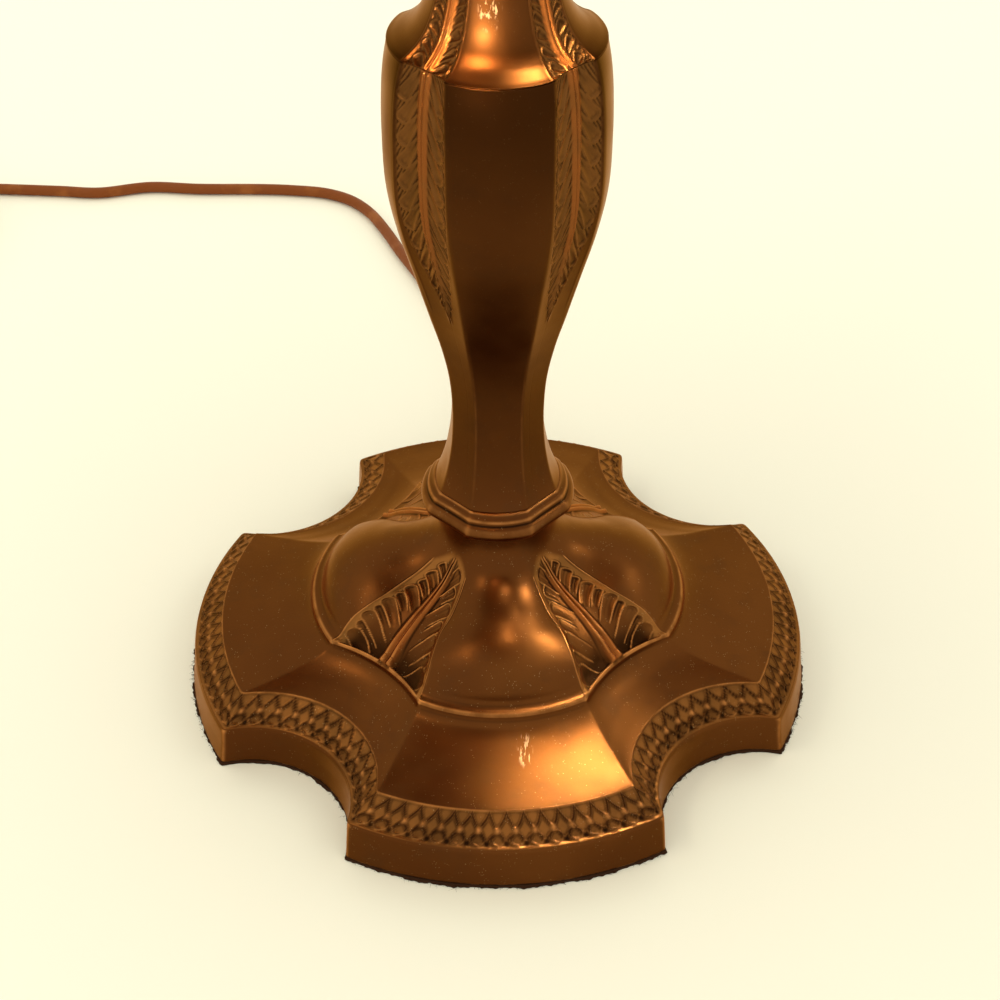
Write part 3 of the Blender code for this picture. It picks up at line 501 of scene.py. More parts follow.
def grid_mesh(name, points):
    """A mesh from a grid of points, closed round its columns and from its last row to its first."""
    rows, columns = points.shape[:2]
    below = np.arange(rows)
    above = (below + 1) % rows
    j = np.arange(columns)
    k = (j + 1) % columns
    quads = np.stack((
        below[:, None] * columns + j, below[:, None] * columns + k,
        above[:, None] * columns + k, above[:, None] * columns + j,
    ), axis=-1).reshape(-1, 4)
    mesh = bpy.data.meshes.new(name)
    mesh.vertices.add(rows * columns)
    mesh.vertices.foreach_set("co", points.reshape(-1).astype(np.float32))
    mesh.loops.add(quads.size)
    mesh.loops.foreach_set("vertex_index", quads.reshape(-1).astype(np.int32))
    mesh.polygons.add(len(quads))
    mesh.polygons.foreach_set("loop_start", np.arange(0, quads.size, 4, dtype=np.int32))
    mesh.update(calc_edges=True)
    mesh.validate()
    mesh.shade_smooth()
    return mesh


def paint(mesh, values):
    """Writes the patina attribute: worn, hollow, leaf, vein for each vertex."""
    layer = mesh.attributes.new("patina", "FLOAT_COLOR", "POINT")
    layer.data.foreach_set("color", np.clip(values, 0, 1).reshape(-1).astype(np.float32))


def revolve(profile, steps):
    """Grid of points: a closed profile (radius, height) turned about Z."""
    profile = np.asarray(profile, dtype=float)
    angle = 2 * np.pi * np.arange(steps) / steps
    x = profile[:, 0:1] * np.cos(angle)
    y = profile[:, 0:1] * np.sin(angle)
    z = np.repeat(profile[:, 1:2], steps, axis=1)
    return np.stack((x, y, z), axis=-1)


# ---------------------------------------------------------------- lobed castings
class Lobed:
    """The columns of a lobed grid: which side each is on, and how far across it, from -1 to 1."""

    def __init__(self, wide, diagonal):
        counts = [wide if side % 2 == 0 else diagonal for side in range(SIDE_COUNT)]
        self.side = np.concatenate([np.full(count, side) for side, count in enumerate(counts)])
        self.across = np.concatenate([-1 + 2 * np.arange(count) / count for count in counts])
        starts = np.concatenate(([0], np.cumsum(counts)))
        self.spans = [(starts[side], starts[side + 1]) for side in range(SIDE_COUNT)]

    def grid(self, rows):
        """Points for rows of main, corner and diagonal (radius, height) and the corner angle."""
        main_r, main_z, corner_r, corner_z, diagonal_r, diagonal_z, angle = (
            rows[:, column:column + 1] for column in range(7)
        )
        wide = self.side % 2 == 0
        middle_r = np.where(wide, main_r, diagonal_r)
        middle_z = np.where(wide, main_z, diagonal_z)
        half = np.radians(np.where(wide, angle, 45.0 - angle))
        chord = corner_r * np.sin(half)
        rise = middle_r - corner_r * np.cos(half)
        bend = np.copysign(np.maximum(np.abs(rise), 1e-6), rise)
        radius = (chord ** 2 + bend ** 2) / (2 * bend)
        sweep = np.arcsin(np.clip(chord / np.abs(radius), -1, 1))
        x = middle_r + radius * (np.cos(self.across * sweep) - 1)
        y = np.abs(radius) * np.sin(self.across * sweep)
        z = middle_z + (corner_z - middle_z) * self.across ** 2
        turn = self.side * np.pi / 4
        points = np.stack((
            x * np.cos(turn) - y * np.sin(turn), x * np.sin(turn) + y * np.cos(turn), z
        ), axis=-1)
        return points * FOOT_R


def round_corners(points, passes):
    """Softens the creases between sides by averaging neighbouring columns."""
    for _ in range(passes):
        points = 0.5 * points + 0.25 * (np.roll(points, 1, axis=1) + np.roll(points, -1, axis=1))
    return points


def round_breaks(points, breaks, reach, passes):
    """Softens the profile's breaks by averaging neighbouring rows near them."""
    share = np.zeros(len(points))
    for row in breaks:
        low = max(1, row - reach)
        high = min(len(points) - 1, row + reach + 1)
        share[low:high] = 1.0
    share = 0.5 * share[1:-1, None, None]
    for _ in range(passes):
        middle = 0.5 * (points[:-2] + points[2:])
        points[1:-1] = points[1:-1] * (1 - share) + middle * share
    return points


def fine_rows(segments):
    """Dense table rows from segments of (rows, spacing in mm). Each goes on from the last row of the
    one before. Returns the rows, and where the breaks between segments are."""
    made = []
    breaks = []
    for rows, spacing in segments:
        rows = np.asarray(rows, dtype=float)
        if made:
            rows = np.vstack((made[-1][-1:], rows))
        track = rows[:, 0:4] * FOOT_R / MM
        length = np.linalg.norm(np.diff(track[:, 0:2], axis=0), axis=1).sum()
        edge = min(0.30, spacing)
        steps = [0.0]
        gap = edge
        while steps[-1] + gap < length / 2:
            steps.append(steps[-1] + gap)
            gap = min(gap * 1.25, spacing)
        share = np.array(steps + [length / 2] + [length - step for step in steps[::-1]]) / length
        knots = np.concatenate(([0], np.cumsum(np.linalg.norm(np.diff(track[:, 0:2], axis=0), axis=1))))
        samples = np.interp(share * knots[-1], knots, np.arange(len(rows)))
        dense = smooth_table(rows, samples)
        made.append(dense if not made else dense[1:])
        breaks.append(sum(len(part) for part in made) - 1)
    return np.vstack(made), breaks[:-1]


def grid_normals(points):
    """Unit normals of a grid of points, outwards for a grid that runs up."""
    around = np.roll(points, -1, axis=1) - np.roll(points, 1, axis=1)
    up = np.gradient(points, axis=0)
    normal = np.cross(around, up)
    length = np.linalg.norm(normal, axis=2, keepdims=True)
    return normal / np.maximum(length, 1e-12)


def surface_measures(points, lobed, zero_row):
    """In mm: distance across from each side's middle line, and distance up from the zero row."""
    step = np.linalg.norm(np.roll(points, -1, axis=1) - points, axis=2)
    walked = np.concatenate((np.zeros((len(points), 1)), np.cumsum(step, axis=1)[:, :-1]), axis=1)
    across = np.empty_like(walked)
    half = np.empty_like(walked)
    for start, end in lobed.spans:
        middle = walked[:, (start + end) // 2][:, None]
        across[:, start:end] = walked[:, start:end] - middle
        half[:, start:end] = middle - walked[:, start:start + 1]
    rise = np.linalg.norm(np.diff(points, axis=0), axis=2)
    up = np.concatenate((np.zeros((1, points.shape[1])), np.cumsum(rise, axis=0)), axis=0)
    return across / MM, half / MM, (up - up[zero_row]) / MM


def bending(points, normals, reach):
    """Curvature over about a millimetre: positive on edges that stick out, negative in creases."""
    result = np.zeros(points.shape[:2])
    for axis in (0, 1):
        for shift in (reach, 2 * reach):
            ahead = np.roll(points, -shift, axis=axis)
            behind = np.roll(points, shift, axis=axis)
            if axis == 0:
                ahead[-shift:] = points[-1]
                behind[:shift] = points[0]
            gap = 0.5 * (np.linalg.norm(ahead - points, axis=2) + np.linalg.norm(behind - points, axis=2))
            fall = -np.einsum("ijk,ijk->ij", ahead + behind - 2 * points, normals)
            result += 0.5 * fall / np.maximum(gap, 0.0002) ** 2
    return result * MM


def capsule(x, y, root, tip, root_r, tip_r):
    """Signed distance to a rounded bar from root to tip, and the place along it."""
    way = (tip[0] - root[0], tip[1] - root[1])
    length2 = way[0] ** 2 + way[1] ** 2
    along = ((x - root[0]) * way[0] + (y - root[1]) * way[1]) / length2
    held = np.clip(along, 0, 1)
    distance = np.hypot(x - root[0] - held * way[0], y - root[1] - held * way[1])
    return distance - (root_r + (tip_r - root_r) * held), along


def lobe_root(out, level, reach, lean):
    """The root of a lobe whose tip is at (out, level), from its length and its lean in radians."""
    return out - reach * math.sin(lean), level - reach * math.cos(lean)


def lay_lobe(height, x, y, root, tip, tip_r, depth, ridge, root_share=0.45, drawn=(0.15, 0.55)):
    """Presses one leaf lobe into the relief: a spoon-like hollow with a thin raised outline.
    drawn says between which shares of the lobe's length its outline fades in."""
    distance, along = capsule(x, y, root, tip, tip_r * root_share, tip_r)
    outline = ridge * bump_line(distance, 0.34) * ease(*drawn, along)
    bowl = -depth * (0.35 + 0.65 * ease(0.0, -0.8 * tip_r, distance))
    keel = 0.30 * depth * bump_line(distance + tip_r, 0.45 * tip_r) * ease(0.9, 0.2, along)
    mask = ease(0.45, -0.10, distance) * ease(drawn[0] - 0.30, drawn[0] + 0.05, along)
    return height * (1 - mask) + (bowl * ease(0.15, -0.25, distance) + keel) * mask + outline


def midrib(x, offset, width, height):
    """Two raised cords beside the leaf's middle line, with a groove between them."""
    cords = bump_line(np.abs(x) - offset, width)
    groove = bump_line(x, offset * 0.55)
    return height * (cords - 0.45 * groove)


def painted(points, normals, leaf, vein, reach=2, rubbed=1.0):
    """The four patina values for a finished grid: worn edges, creases darkened with patina and painted
    shade, leaf and vein. rubbed says how bright its edges are worn.
    """
    curve = bending(points, normals, reach)
    worn = ease(0.16, 0.75, curve) * rubbed * (1 - 0.62 * leaf)
    hollow = ease(0.10, 0.75, -curve) * (1 - 0.25 * leaf)
    return np.stack((worn, hollow, leaf, vein), axis=-1)


def level_rows(rows):
    """Rows whose points all lie at one height, in the form that Lobed.grid reads."""
    return np.array([(main, z, corner, z, diagonal, z, angle) for z, main, corner, diagonal, angle in rows])


def bore_rows(radius, heights):
    """Rows round a straight bore."""
    return level_rows([(z, radius, radius, radius, EVEN_ANGLE) for z in heights])


def add_casting(name, node, lobed, outside, values, closing, hollow=0.0):
    """A hollow casting: its detailed outside, closed by plain rows that run back up or down inside."""
    grid = np.concatenate((outside, lobed.grid(closing)), axis=0)
    mesh = grid_mesh(name, grid)
    extra = np.zeros((len(closing), grid.shape[1], 4))
    extra[..., 1] = hollow
    paint(mesh, np.concatenate((values, extra), axis=0))
    add_piece(name, mesh, "patina_bronze", replaces=(node,))


# The foot from its rim to its neck, in shares of FOOT_R. Each part goes on from the last row of the one
# before. Level rows are height, main, corner and diagonal radius, corner angle.
FOOT_WALL = level_rows((
    (0.0153, 1.016, 1.016, 0.814, 28.8),
    (0.0480, 1.012, 1.012, 0.810, 28.8),
    (0.0800, 1.008, 1.008, 0.806, 28.8),
    (0.1400, 1.002, 1.002, 0.802, 28.7),
    (0.1475, 0.998, 0.998, 0.798, 28.7),
))
FOOT_BAND = level_rows((
    (0.2230, 0.905, 0.905, 0.700, 25.3),
))
FOOT_SKIRT = level_rows((
    (0.2240, 0.890, 0.890, 0.692, 25.3),
    (0.2290, 0.850, 0.850, 0.668, 25.4),
    (0.2370, 0.800, 0.800, 0.638, 25.5),
    (0.2450, 0.750, 0.750, 0.608, 25.5),
    (0.2560, 0.700, 0.700, 0.579, 25.6),
    (0.2680, 0.660, 0.658, 0.556, 25.7),
    (0.2830, 0.628, 0.622, 0.536, 25.7),
    (0.2960, 0.612, 0.604, 0.527, 25.8),
))
FOOT_LIP = (
    (0.609, 0.3050, 0.600, 0.3050, 0.527, 0.3050, 25.8),
    (0.606, 0.3140, 0.597, 0.3140, 0.525, 0.3140, 25.8),
    (0.600, 0.3210, 0.591, 0.3210, 0.517, 0.3230, 25.8),
)
FOOT_COVE = (
    (0.588, 0.3235, 0.578, 0.3235, 0.505, 0.3270, 25.8),
    (0.577, 0.3300, 0.567, 0.3300, 0.495, 0.3310, 25.8),
    (0.570, 0.3420, 0.556, 0.3420, 0.486, 0.3370, 25.7),
    (0.567, 0.3560, 0.548, 0.3540, 0.476, 0.3450, 25.7),
)
FOOT_DOME = (
    (0.563, 0.3700, 0.534, 0.3700, 0.458, 0.3600, 25.6),
    (0.550, 0.3970, 0.512, 0.3930, 0.430, 0.3810, 25.8),
    (0.524, 0.4280, 0.485, 0.4110, 0.402, 0.3990, 26.2),
    (0.486, 0.4560, 0.448, 0.4300, 0.368, 0.4180, 26.7),
    (0.440, 0.4800, 0.405, 0.4460, 0.330, 0.4350, 27.0),
    (0.380, 0.5010, 0.344, 0.4640, 0.295, 0.4520, 26.1),
    (0.310, 0.5180, 0.285, 0.4910, 0.252, 0.4780, 26.3),
    (0.255, 0.5400, 0.240, 0.5220, 0.220, 0.5100, 26.8),
    (0.215, 0.5700, 0.203, 0.5580, 0.195, 0.5480, 28.0),
    (0.190, 0.6150, 0.184, 0.6100, 0.182, 0.6050, 26.0),
    (0.184, 0.6820, 0.184, 0.6820, 0.184, 0.6820, 22.5),
)
FOOT_INSIDE = (
    (1.016, 0.0153, 1.016, 0.0153, 0.814, 0.0153, 28.8),
    (1.000, 0.1464, 1.000, 0.1464, 0.800, 0.1464, 28.7),
    (0.800, 0.2380, 0.800, 0.2380, 0.638, 0.2380, 25.5),
    (0.625, 0.2830, 0.620, 0.2830, 0.533, 0.2830, 25.7),
    (0.572, 0.3340, 0.560, 0.3340, 0.490, 0.3340, 25.8),
    (0.545, 0.4000, 0.512, 0.3950, 0.432, 0.3820, 25.8),
    (0.450, 0.4780, 0.419, 0.4400, 0.345, 0.4280, 27.1),
    (0.310, 0.5180, 0.285, 0.4910, 0.252, 0.4780, 26.3),
    (0.215, 0.5700, 0.203, 0.5580, 0.195, 0.5480, 28.0),
    (0.184, 0.6820, 0.184, 0.6820, 0.184, 0.6820, 22.5),
)

WIDE_ARCHES = 16          # lattice arches on a wide lobe
DIAGONAL_ARCHES = 12
FOOT_COLUMNS = (240, 136)     # grid columns on a wide lobe and on a diagonal side


def lattice(phase, level, pitch, width):
    """The foot's band: crossing pointed arches over open loops. Returns its relief in mm, where it is
    rubbed bright or painted with a highlight, where it is dark or painted with shade, and where its ridges
    are.
    phase counts arches along the band, level runs from 0 at its outer border to 1 at its inner one."""
    place = phase - np.floor(phase)
    jitter = 0.04 * np.sin(phase * 12.9) + 0.03 * np.sin(phase * 5.3 + 1.7)
    relief = np.full_like(phase, -0.55)
    relief = relief + 0.16 * bump_line((place - 0.5) * pitch, 1.6) * bump_line((level - 0.75) * width, 1.8)
    curves = []
    for away in (place, 1 - place):
        curve = 0.93 - 0.76 * away ** 0.80 + jitter * away
        slope = 0.61 * np.maximum(away, 0.05) ** -0.2 * width / pitch
        curves.append((level - curve) * width / np.sqrt(1 + slope ** 2))
    ridge = np.maximum(bump_line(curves[0], 0.46), bump_line(curves[1], 0.46))
    groove = np.maximum(bump_line(curves[0], 0.16), bump_line(curves[1], 0.16)) * ease(0.50, 0.62, level)
    cross_x = (place - 0.5) * pitch
    cross = bump_line(cross_x, 0.9) * bump_line((level - 0.49) * width, 1.1)
    ring_y = (level - 0.25) * width
    ring = np.hypot(cross_x * 0.92, ring_y)
    opening = ease(-0.1, -1.1, ring_y) * ease(-0.2, 1.0, cross_x)
    loop = bump_line(ring - 2.05, 0.46) * (1 - 0.8 * opening)
    between = (0.5 - np.abs(place - 0.5)) * pitch
    pit = bump_line(between, 1.1) * bump_line((level - 0.16) * width, 1.1)
    relief += 0.80 * np.maximum(ridge, 0.95 * loop) - 0.16 * groove + 0.22 * cross - 0.55 * pit
    border = ease(0.10, 0.065, level)
    relief = relief * (1 - border) + 0.05 * border
    relief += 0.26 * bump_line((level - 0.020) * width, 0.32)
    inner = bump_line((level - 0.985) * width, 0.38)
    relief = relief * ease(1.0, 0.955, level) + 0.36 * inner
    open_part = (1 - border) * ease(1.0, 0.94, level)
    side = np.maximum(bump_line(np.abs(curves[0]) - 0.75, 0.34), bump_line(np.abs(curves[1]) - 0.75, 0.34))
    crest = np.maximum(ridge, loop)
    inner_loop = ease(1.9, 1.2, ring) * ease(0.50, 0.40, level)
    # Painted shadow beside the ridges, and patina with painted shade in the pits, over dark ridge and loop
    # lines.
    dark = np.maximum(0.70 * side * ease(0.95, 0.60, level), 0.92 * ridge * ease(0.25, 0.75, ridge))
    dark = np.maximum(np.maximum(dark, 0.35 * inner_loop), np.maximum(1.3 * pit, 0.95 * loop))
    # Painted highlight: bright copper on the crossings and on the loops' lower ends.
    rub_and_highlight = np.maximum(cross, 0.45 * bump_line(ring - 2.25, 0.22) * ease(0.30, 0.20, level))
    dark = np.clip(dark, 0, 1) * open_part * (1 - cross)
    return relief, rub_and_highlight * open_part, dark, crest * open_part


def dome_leaf(x, half, up, toward, deep):
    """Relief of one acanthus leaf on a diagonal of the dome, in mm. up runs from the lip to the tip.
    The half of the leaf next to the front or back lobe, on the side that toward gives, has fewer lobes.
    The hollow beside the stem's root is deep on the front leaves and shallow on the back ones."""
    away = np.abs(x)
    length = 48.0
    edge = half - 1.0
    middle = x.shape[1] // 2
    field = ease(-1.0, -3.4, away - edge) * ease(length + 0.5, length - 6.0, up)
    relief = -0.40 * field
    lobes = np.zeros_like(x)
    for way, count, big_r, small_r, most_lean in ((-1, 10, 2.9, 2.1, 0.90), (1, 7, 3.7, 2.8, 0.62)):
        here = x * toward * way > 0
        for k in (*range(1, count, 2), *range(0, count, 2)):
            big = k % 2 == 0
            place = k / (count - 1)
            level = 5.0 + (length - 9.0) * place ** 0.95
            half_here = np.interp(level, up[:, middle], half[:, middle])
            tip_r = (big_r if big else small_r) * (1.0 - 0.40 * place)
            out = half_here - 1.1 - tip_r - (0.4 if big else 1.5)
            reach = (15.0 if big else 11.0) * (1.0 - 0.45 * place)
            lean = most_lean * (1.0 - 0.40 * place)
            root = lobe_root(out, level, reach, lean)
            laid = lay_lobe(relief, away, up, root, (out, level), tip_r, 0.50, 0.10, 0.80, (0.10, 0.50))
            relief = np.where(here, laid, relief)
            distance, along = capsule(away, up, root, (out, level), tip_r * 0.80, tip_r)
            inside = ease(0.05, -0.45, distance) * ease(-0.2, 0.1, along)
            lobes = np.where(here, np.maximum(lobes, inside), lobes)
    hollow = bump_line(up - 2.0, 6.0) * ease(2.0, 5.0, away) * ease(edge - 0.5, edge - 6.0, away)
    relief -= 1.2 * deep * hollow
    offset = 1.60 - 1.10 * ease(0, 0.9 * length, up)
    cords = midrib(x, offset, 0.25 + 0.40 * offset, 0.85)
    stem = ease(3.0, 1.4, away / (0.5 + 0.5 * offset))
    keep = stem * ease(length, length - 4, up)
    relief = relief * (1 - keep) + (cords + 0.15 + 0.8 * deep * bump_line(up - 7.0, 7.0)) * keep
    relief += 0.26 * bump_line(half - away, 0.5) * ease(length + 5.0, length - 2.0, up)
    fade = ease(length + 3.0, length - 1.0, up) * ease(-1.2, 0.3, up)
    ground = ease(half + 0.2, half - 0.8, away) * (1 - 0.75 * lobes) * ease(edge - 8.5, edge - 3.5, away)
    vein = ease(0.25, 0.8, keep) * fade * ease(length - 3.0, length - 14.0, up)
    # The last value is where the root hollow is painted with shade.
    return relief * fade, ground * fade, vein, deep * hollow * fade


def make_foot():
    """The foot: rim, lattice band, skirt, lip, cove and the dome with its four leaves."""
    lobed = Lobed(*FOOT_COLUMNS)
    rows, breaks = fine_rows((
        (FOOT_WALL, 1.6), (FOOT_BAND, 0.40), (FOOT_SKIRT, 1.3), (FOOT_LIP, 0.35), (FOOT_COVE, 0.35),
        (FOOT_DOME, 0.42),
    ))
    points = lobed.grid(rows)
    points = round_corners(points, 8)
    points = round_breaks(points, breaks, 3, 4)
    normals = grid_normals(points)
    across, half, up = surface_measures(points, lobed, breaks[3])
    shift = np.zeros(points.shape[:2])
    leaf = np.zeros_like(shift)
    vein = np.zeros_like(shift)
    wide = lobed.side % 2 == 0
    band = slice(breaks[0], breaks[1] + 1)
    width = up[breaks[1]] - up[breaks[0]]
    level = (up[band] - up[breaks[0]]) / width
    repeats = np.where(wide, WIDE_ARCHES, DIAGONAL_ARCHES)
    phase = np.broadcast_to(lobed.across * repeats / 2, level.shape)
    pitch = 2 * half[band] / repeats
    relief, rub_and_highlight, dark, ridge = lattice(phase, level, pitch, width)
    shift[band] += relief
    leaf[band] = 0.70 * ease(0.0, 0.05, level) * ease(1.0, 0.97, level) * (1 - 0.8 * ridge)
    top = breaks[3]
    root_hollow_shade = np.zeros_like(shift)
    for side in range(1, SIDE_COUNT, 2):
        start, end = lobed.spans[side]
        area = (slice(top, None), slice(start, end))
        toward = 1.0 if side % 4 == 1 else -1.0
        deep = 1.0 if side > 4 else 0.1
        relief, ground, stem, hollow = dome_leaf(across[area], half[area], up[area], toward, deep)
        shift[area] += relief
        leaf[area] = ground
        vein[area] = stem
        root_hollow_shade[area] = hollow
    points = points + normals * shift[..., None] * MM
    points[-1] = lobed.grid(rows[-1:])[0]
    values = painted(points, grid_normals(points), leaf, vein)
    # The band keeps little edge wear and takes the lattice's painted highlights.
    values[band, :, 0] = np.maximum(0.30 * values[band, :, 0] * ease(0.9, 1.0, level), rub_and_highlight)
    values[band, :, 0] = np.maximum(values[band, :, 0], 0.7 * bump_line((level - 0.985) * width, 0.4))
    # The band's dark lines, painted shadow and painted shade.
    values[band, :, 1] = np.maximum(0.6 * values[band, :, 1], dark)
    # Painted shade in the hollow beside each leaf's root.
    values[..., 1] = np.maximum(values[..., 1], 0.9 * root_hollow_shade)
    inside = np.asarray(FOOT_INSIDE, dtype=float)
    for column in (0, 2, 4):
        inside[:, column] -= WALL / FOOT_R
    for column in (1, 3, 5):
        inside[:, column] = np.maximum(inside[:, column] - WALL / FOOT_R, FOOT_WALL[0][1])
    hole = bore_rows(PIPE_HOLE / FOOT_R, (inside[-1, 1] + WALL / FOOT_R, inside[-1, 1]))
    add_casting("foot", "foot_casting", lobed, points, values, np.vstack((hole, inside[::-1])), 0.5)


# ---------------------------------------------------------------- collar, stem and neck
# Level rows, in shares of FOOT_R: height, main, corner and diagonal radius, corner angle.
COLLAR_ROWS = (
    (0.6850, 0.1880, 0.1890, 0.1800, 25.0),
    (0.6870, 0.2040, 0.2055, 0.1930, 25.0),
    (0.6930, 0.2250, 0.2270, 0.2120, 25.1),
    (0.7040, 0.2375, 0.2395, 0.2240, 25.2),
    (0.7180, 0.2415, 0.2433, 0.2280, 25.2),
    (0.7320, 0.2375, 0.2393, 0.2245, 25.2),
    (0.7400, 0.2300, 0.2320, 0.2170, 25.2),
    (0.7445, 0.2215, 0.2235, 0.2090, 25.4),
    (0.7480, 0.2190, 0.2210, 0.2070, 25.5),
    (0.7530, 0.2200, 0.2220, 0.2080, 25.6),
    (0.7590, 0.2185, 0.2205, 0.2070, 25.6),
    (0.7640, 0.2130, 0.2150, 0.2020, 25.7),
    (0.7670, 0.2070, 0.2090, 0.1965, 25.8),
    (0.7700, 0.2045, 0.2065, 0.1945, 26.0),
    (0.7740, 0.2030, 0.2050, 0.1930, 26.0),
    (0.7780, 0.1985, 0.2010, 0.1895, 26.0),
    (0.7800, 0.1900, 0.1925, 0.1820, 26.0),
)
COLLAR_BORE = 0.130

STEM_ROWS = (
    (0.7808, 0.1935, 0.1985, 0.1880, 26.0),
    (0.8200, 0.1750, 0.1860, 0.1750, 26.0),
    (0.8800, 0.1570, 0.1720, 0.1620, 26.3),
    (0.9700, 0.1430, 0.1590, 0.1510, 26.5),
    (1.0800, 0.1380, 0.1550, 0.1470, 26.5),
    (1.2000, 0.1460, 0.1630, 0.1540, 26.5),
    (1.3200, 0.1700, 0.1870, 0.1760, 26.5),
    (1.4400, 0.2060, 0.2210, 0.2060, 26.4),
    (1.5800, 0.2490, 0.2590, 0.2390, 26.3),
    (1.7200, 0.2900, 0.2960, 0.2700, 26.3),
    (1.8600, 0.3160, 0.3200, 0.2920, 26.3),
    (2.0200, 0.3210, 0.3230, 0.2940, 26.5),
    (2.1400, 0.3180, 0.3190, 0.2900, 27.0),
    (2.2200, 0.3110, 0.3110, 0.2820, 27.8),
    (2.2900, 0.2990, 0.2950, 0.2700, 28.7),
)

NECK_ROWS = (
    (2.2930, 0.3000, 0.2960, 0.2710, 28.7),
    (2.3020, 0.2800, 0.2760, 0.2560, 28.0),
    (2.3240, 0.2440, 0.2460, 0.2300, 27.5),
    (2.3600, 0.2140, 0.2160, 0.2030, 27.0),
    (2.4200, 0.1860, 0.1900, 0.1790, 26.5),
    (2.5200, 0.1600, 0.1650, 0.1560, 26.0),
    (2.6600, 0.1380, 0.1440, 0.1370, 26.0),
    (2.8400, 0.1250, 0.1310, 0.1250, 26.0),
    (3.0000, 0.1240, 0.1290, 0.1230, 26.0),
    (3.0900, 0.1320, 0.1360, 0.1300, 26.0),
    (3.1400, 0.1420, 0.1440, 0.1400, 24.0),
)
NECK_TOP = NECK_ROWS[-1][0] * FOOT_R


def inset_rows(rows):
    """Level rows moved in by the castings' wall."""
    inner = level_rows(rows)
    inner[:, [0, 2, 4]] -= WALL / FOOT_R
    return inner


def stem_leaf(x, half, down, side):
    """Relief of a long leaf that hangs down a diagonal face of the stem, in mm. Its tip leans forward."""
    length = 99.0
    narrows = 50.0
    lean_way = 1.0 if side % 4 == 1 else -1.0
    x = x - lean_way * 2.2 * ease(narrows, length - 4.0, down)
    away = np.abs(x)
    tail = np.clip((down - narrows) / (length - narrows), 0.0, 1.0)
    bound = (half - 1.1) * (1 - tail ** 1.6)
    inside = ease(0.2, -0.9, away - bound)
    relief = -0.35 * inside
    barbs = np.cos(2 * np.pi * (away * 0.86 - down * 0.46) / 1.25)
    relief += 0.12 * barbs * inside * ease(0.8, 2.0, away)
    for k in range(11):
        level = 10.0 + 8.0 * k
        tail_here = min(max((level - narrows) / (length - narrows), 0.0), 1.0)
        bound_here = 10.4 * (1 - tail_here ** 1.6)
        tip_r = 2.35 * (1.0 - 0.55 * tail_here)
        out = max(bound_here - tip_r - 0.15, 1.2)
        reach = 11.5 * (1.0 - 0.35 * tail_here)
        lean = 0.55 * (1.0 - 0.5 * tail_here)
        root = lobe_root(out, level, reach, lean)
        relief = lay_lobe(relief, away, down, root, (out, level), tip_r, 0.50, 0.18)
    relief *= ease(1.0, -0.2, away - np.maximum(bound, 0.8))
    offset = 0.95 - 0.55 * ease(0.0, 90.0, down)
    keep = ease(2.4, 1.2, away / (0.35 + offset)) * ease(length, length - 7.0, down)
    relief = relief * (1 - keep) + (midrib(x, offset, 0.55 * offset + 0.12, 0.62) + 0.12) * keep
    relief += 0.10 * bump_line(half - away, 0.5) * ease(length, length - 7.0, down)
    fade = ease(-0.5, 1.5, down)
    leaf = inside * ease(length + 2.0, length - 3.0, down)
    return relief * fade, leaf, ease(0.2, 0.7, keep) * ease(88.0, 60.0, down)


def neck_leaf(x, half, up):
    """Relief of a leaf that climbs a diagonal face of the neck, in mm, with curled lobes."""
    away = np.abs(x)
    length = 62.0
    narrows = 30.0
    tail = np.clip((up - narrows) / (length - narrows), 0.0, 1.0)
    bound = (half - 0.7) * (1 - tail ** 1.7)
    inside = ease(0.2, -0.8, away - bound)
    relief = -0.40 * inside
    relief += 0.12 * np.cos(2 * np.pi * (away * 0.80 - up * 0.55) / 1.3) * inside * ease(0.9, 1.8, away)
    for k in range(10):
        level = 3.4 + 5.6 * k
        tail_here = min(max((level - narrows) / (length - narrows), 0.0), 1.0)
        bound_here = (7.9 - 0.055 * level) * (1 - tail_here ** 1.7)
        tip_r = (1.75 if k % 2 == 0 else 1.35) * (1.0 - 0.4 * tail_here)
        out = max(bound_here - tip_r - 0.3, 0.9)
        root = lobe_root(out, level, 6.6, 0.75)
        relief = lay_lobe(relief, away, up, root, (out, level), tip_r, 0.60, 0.28)
    relief *= ease(1.0, -0.2, away - np.maximum(bound, 0.6))
    offset = 0.95 - 0.50 * ease(0.0, length, up)
    keep = ease(2.4, 1.2, away / (0.35 + offset)) * ease(length + 1.0, length - 6.0, up)
    relief = relief * (1 - keep) + (midrib(x, offset, 0.55 * offset + 0.12, 0.70) + 0.12) * keep
    relief += 0.20 * bump_line(half - away, 0.5)
    fade = ease(-0.2, 1.2, up)
    return relief * fade, inside * ease(length, length - 5.0, up), ease(0.2, 0.7, keep)


def make_collar():
    """The moulded collar between the foot and the stem."""
    lobed = Lobed(48, 36)
    rows, _ = fine_rows(((level_rows(COLLAR_ROWS), 0.30),))
    points = round_corners(lobed.grid(rows), 4)
    points = round_breaks(points, range(3, len(points) - 3), 1, 9)
    blank = np.zeros(points.shape[:2])
    values = painted(points, grid_normals(points), blank, blank, 1, 0.75)
    bore = bore_rows(COLLAR_BORE, (COLLAR_ROWS[-1][0], COLLAR_ROWS[0][0]))
    add_casting("collar", "stem_collar", lobed, points, values, bore)


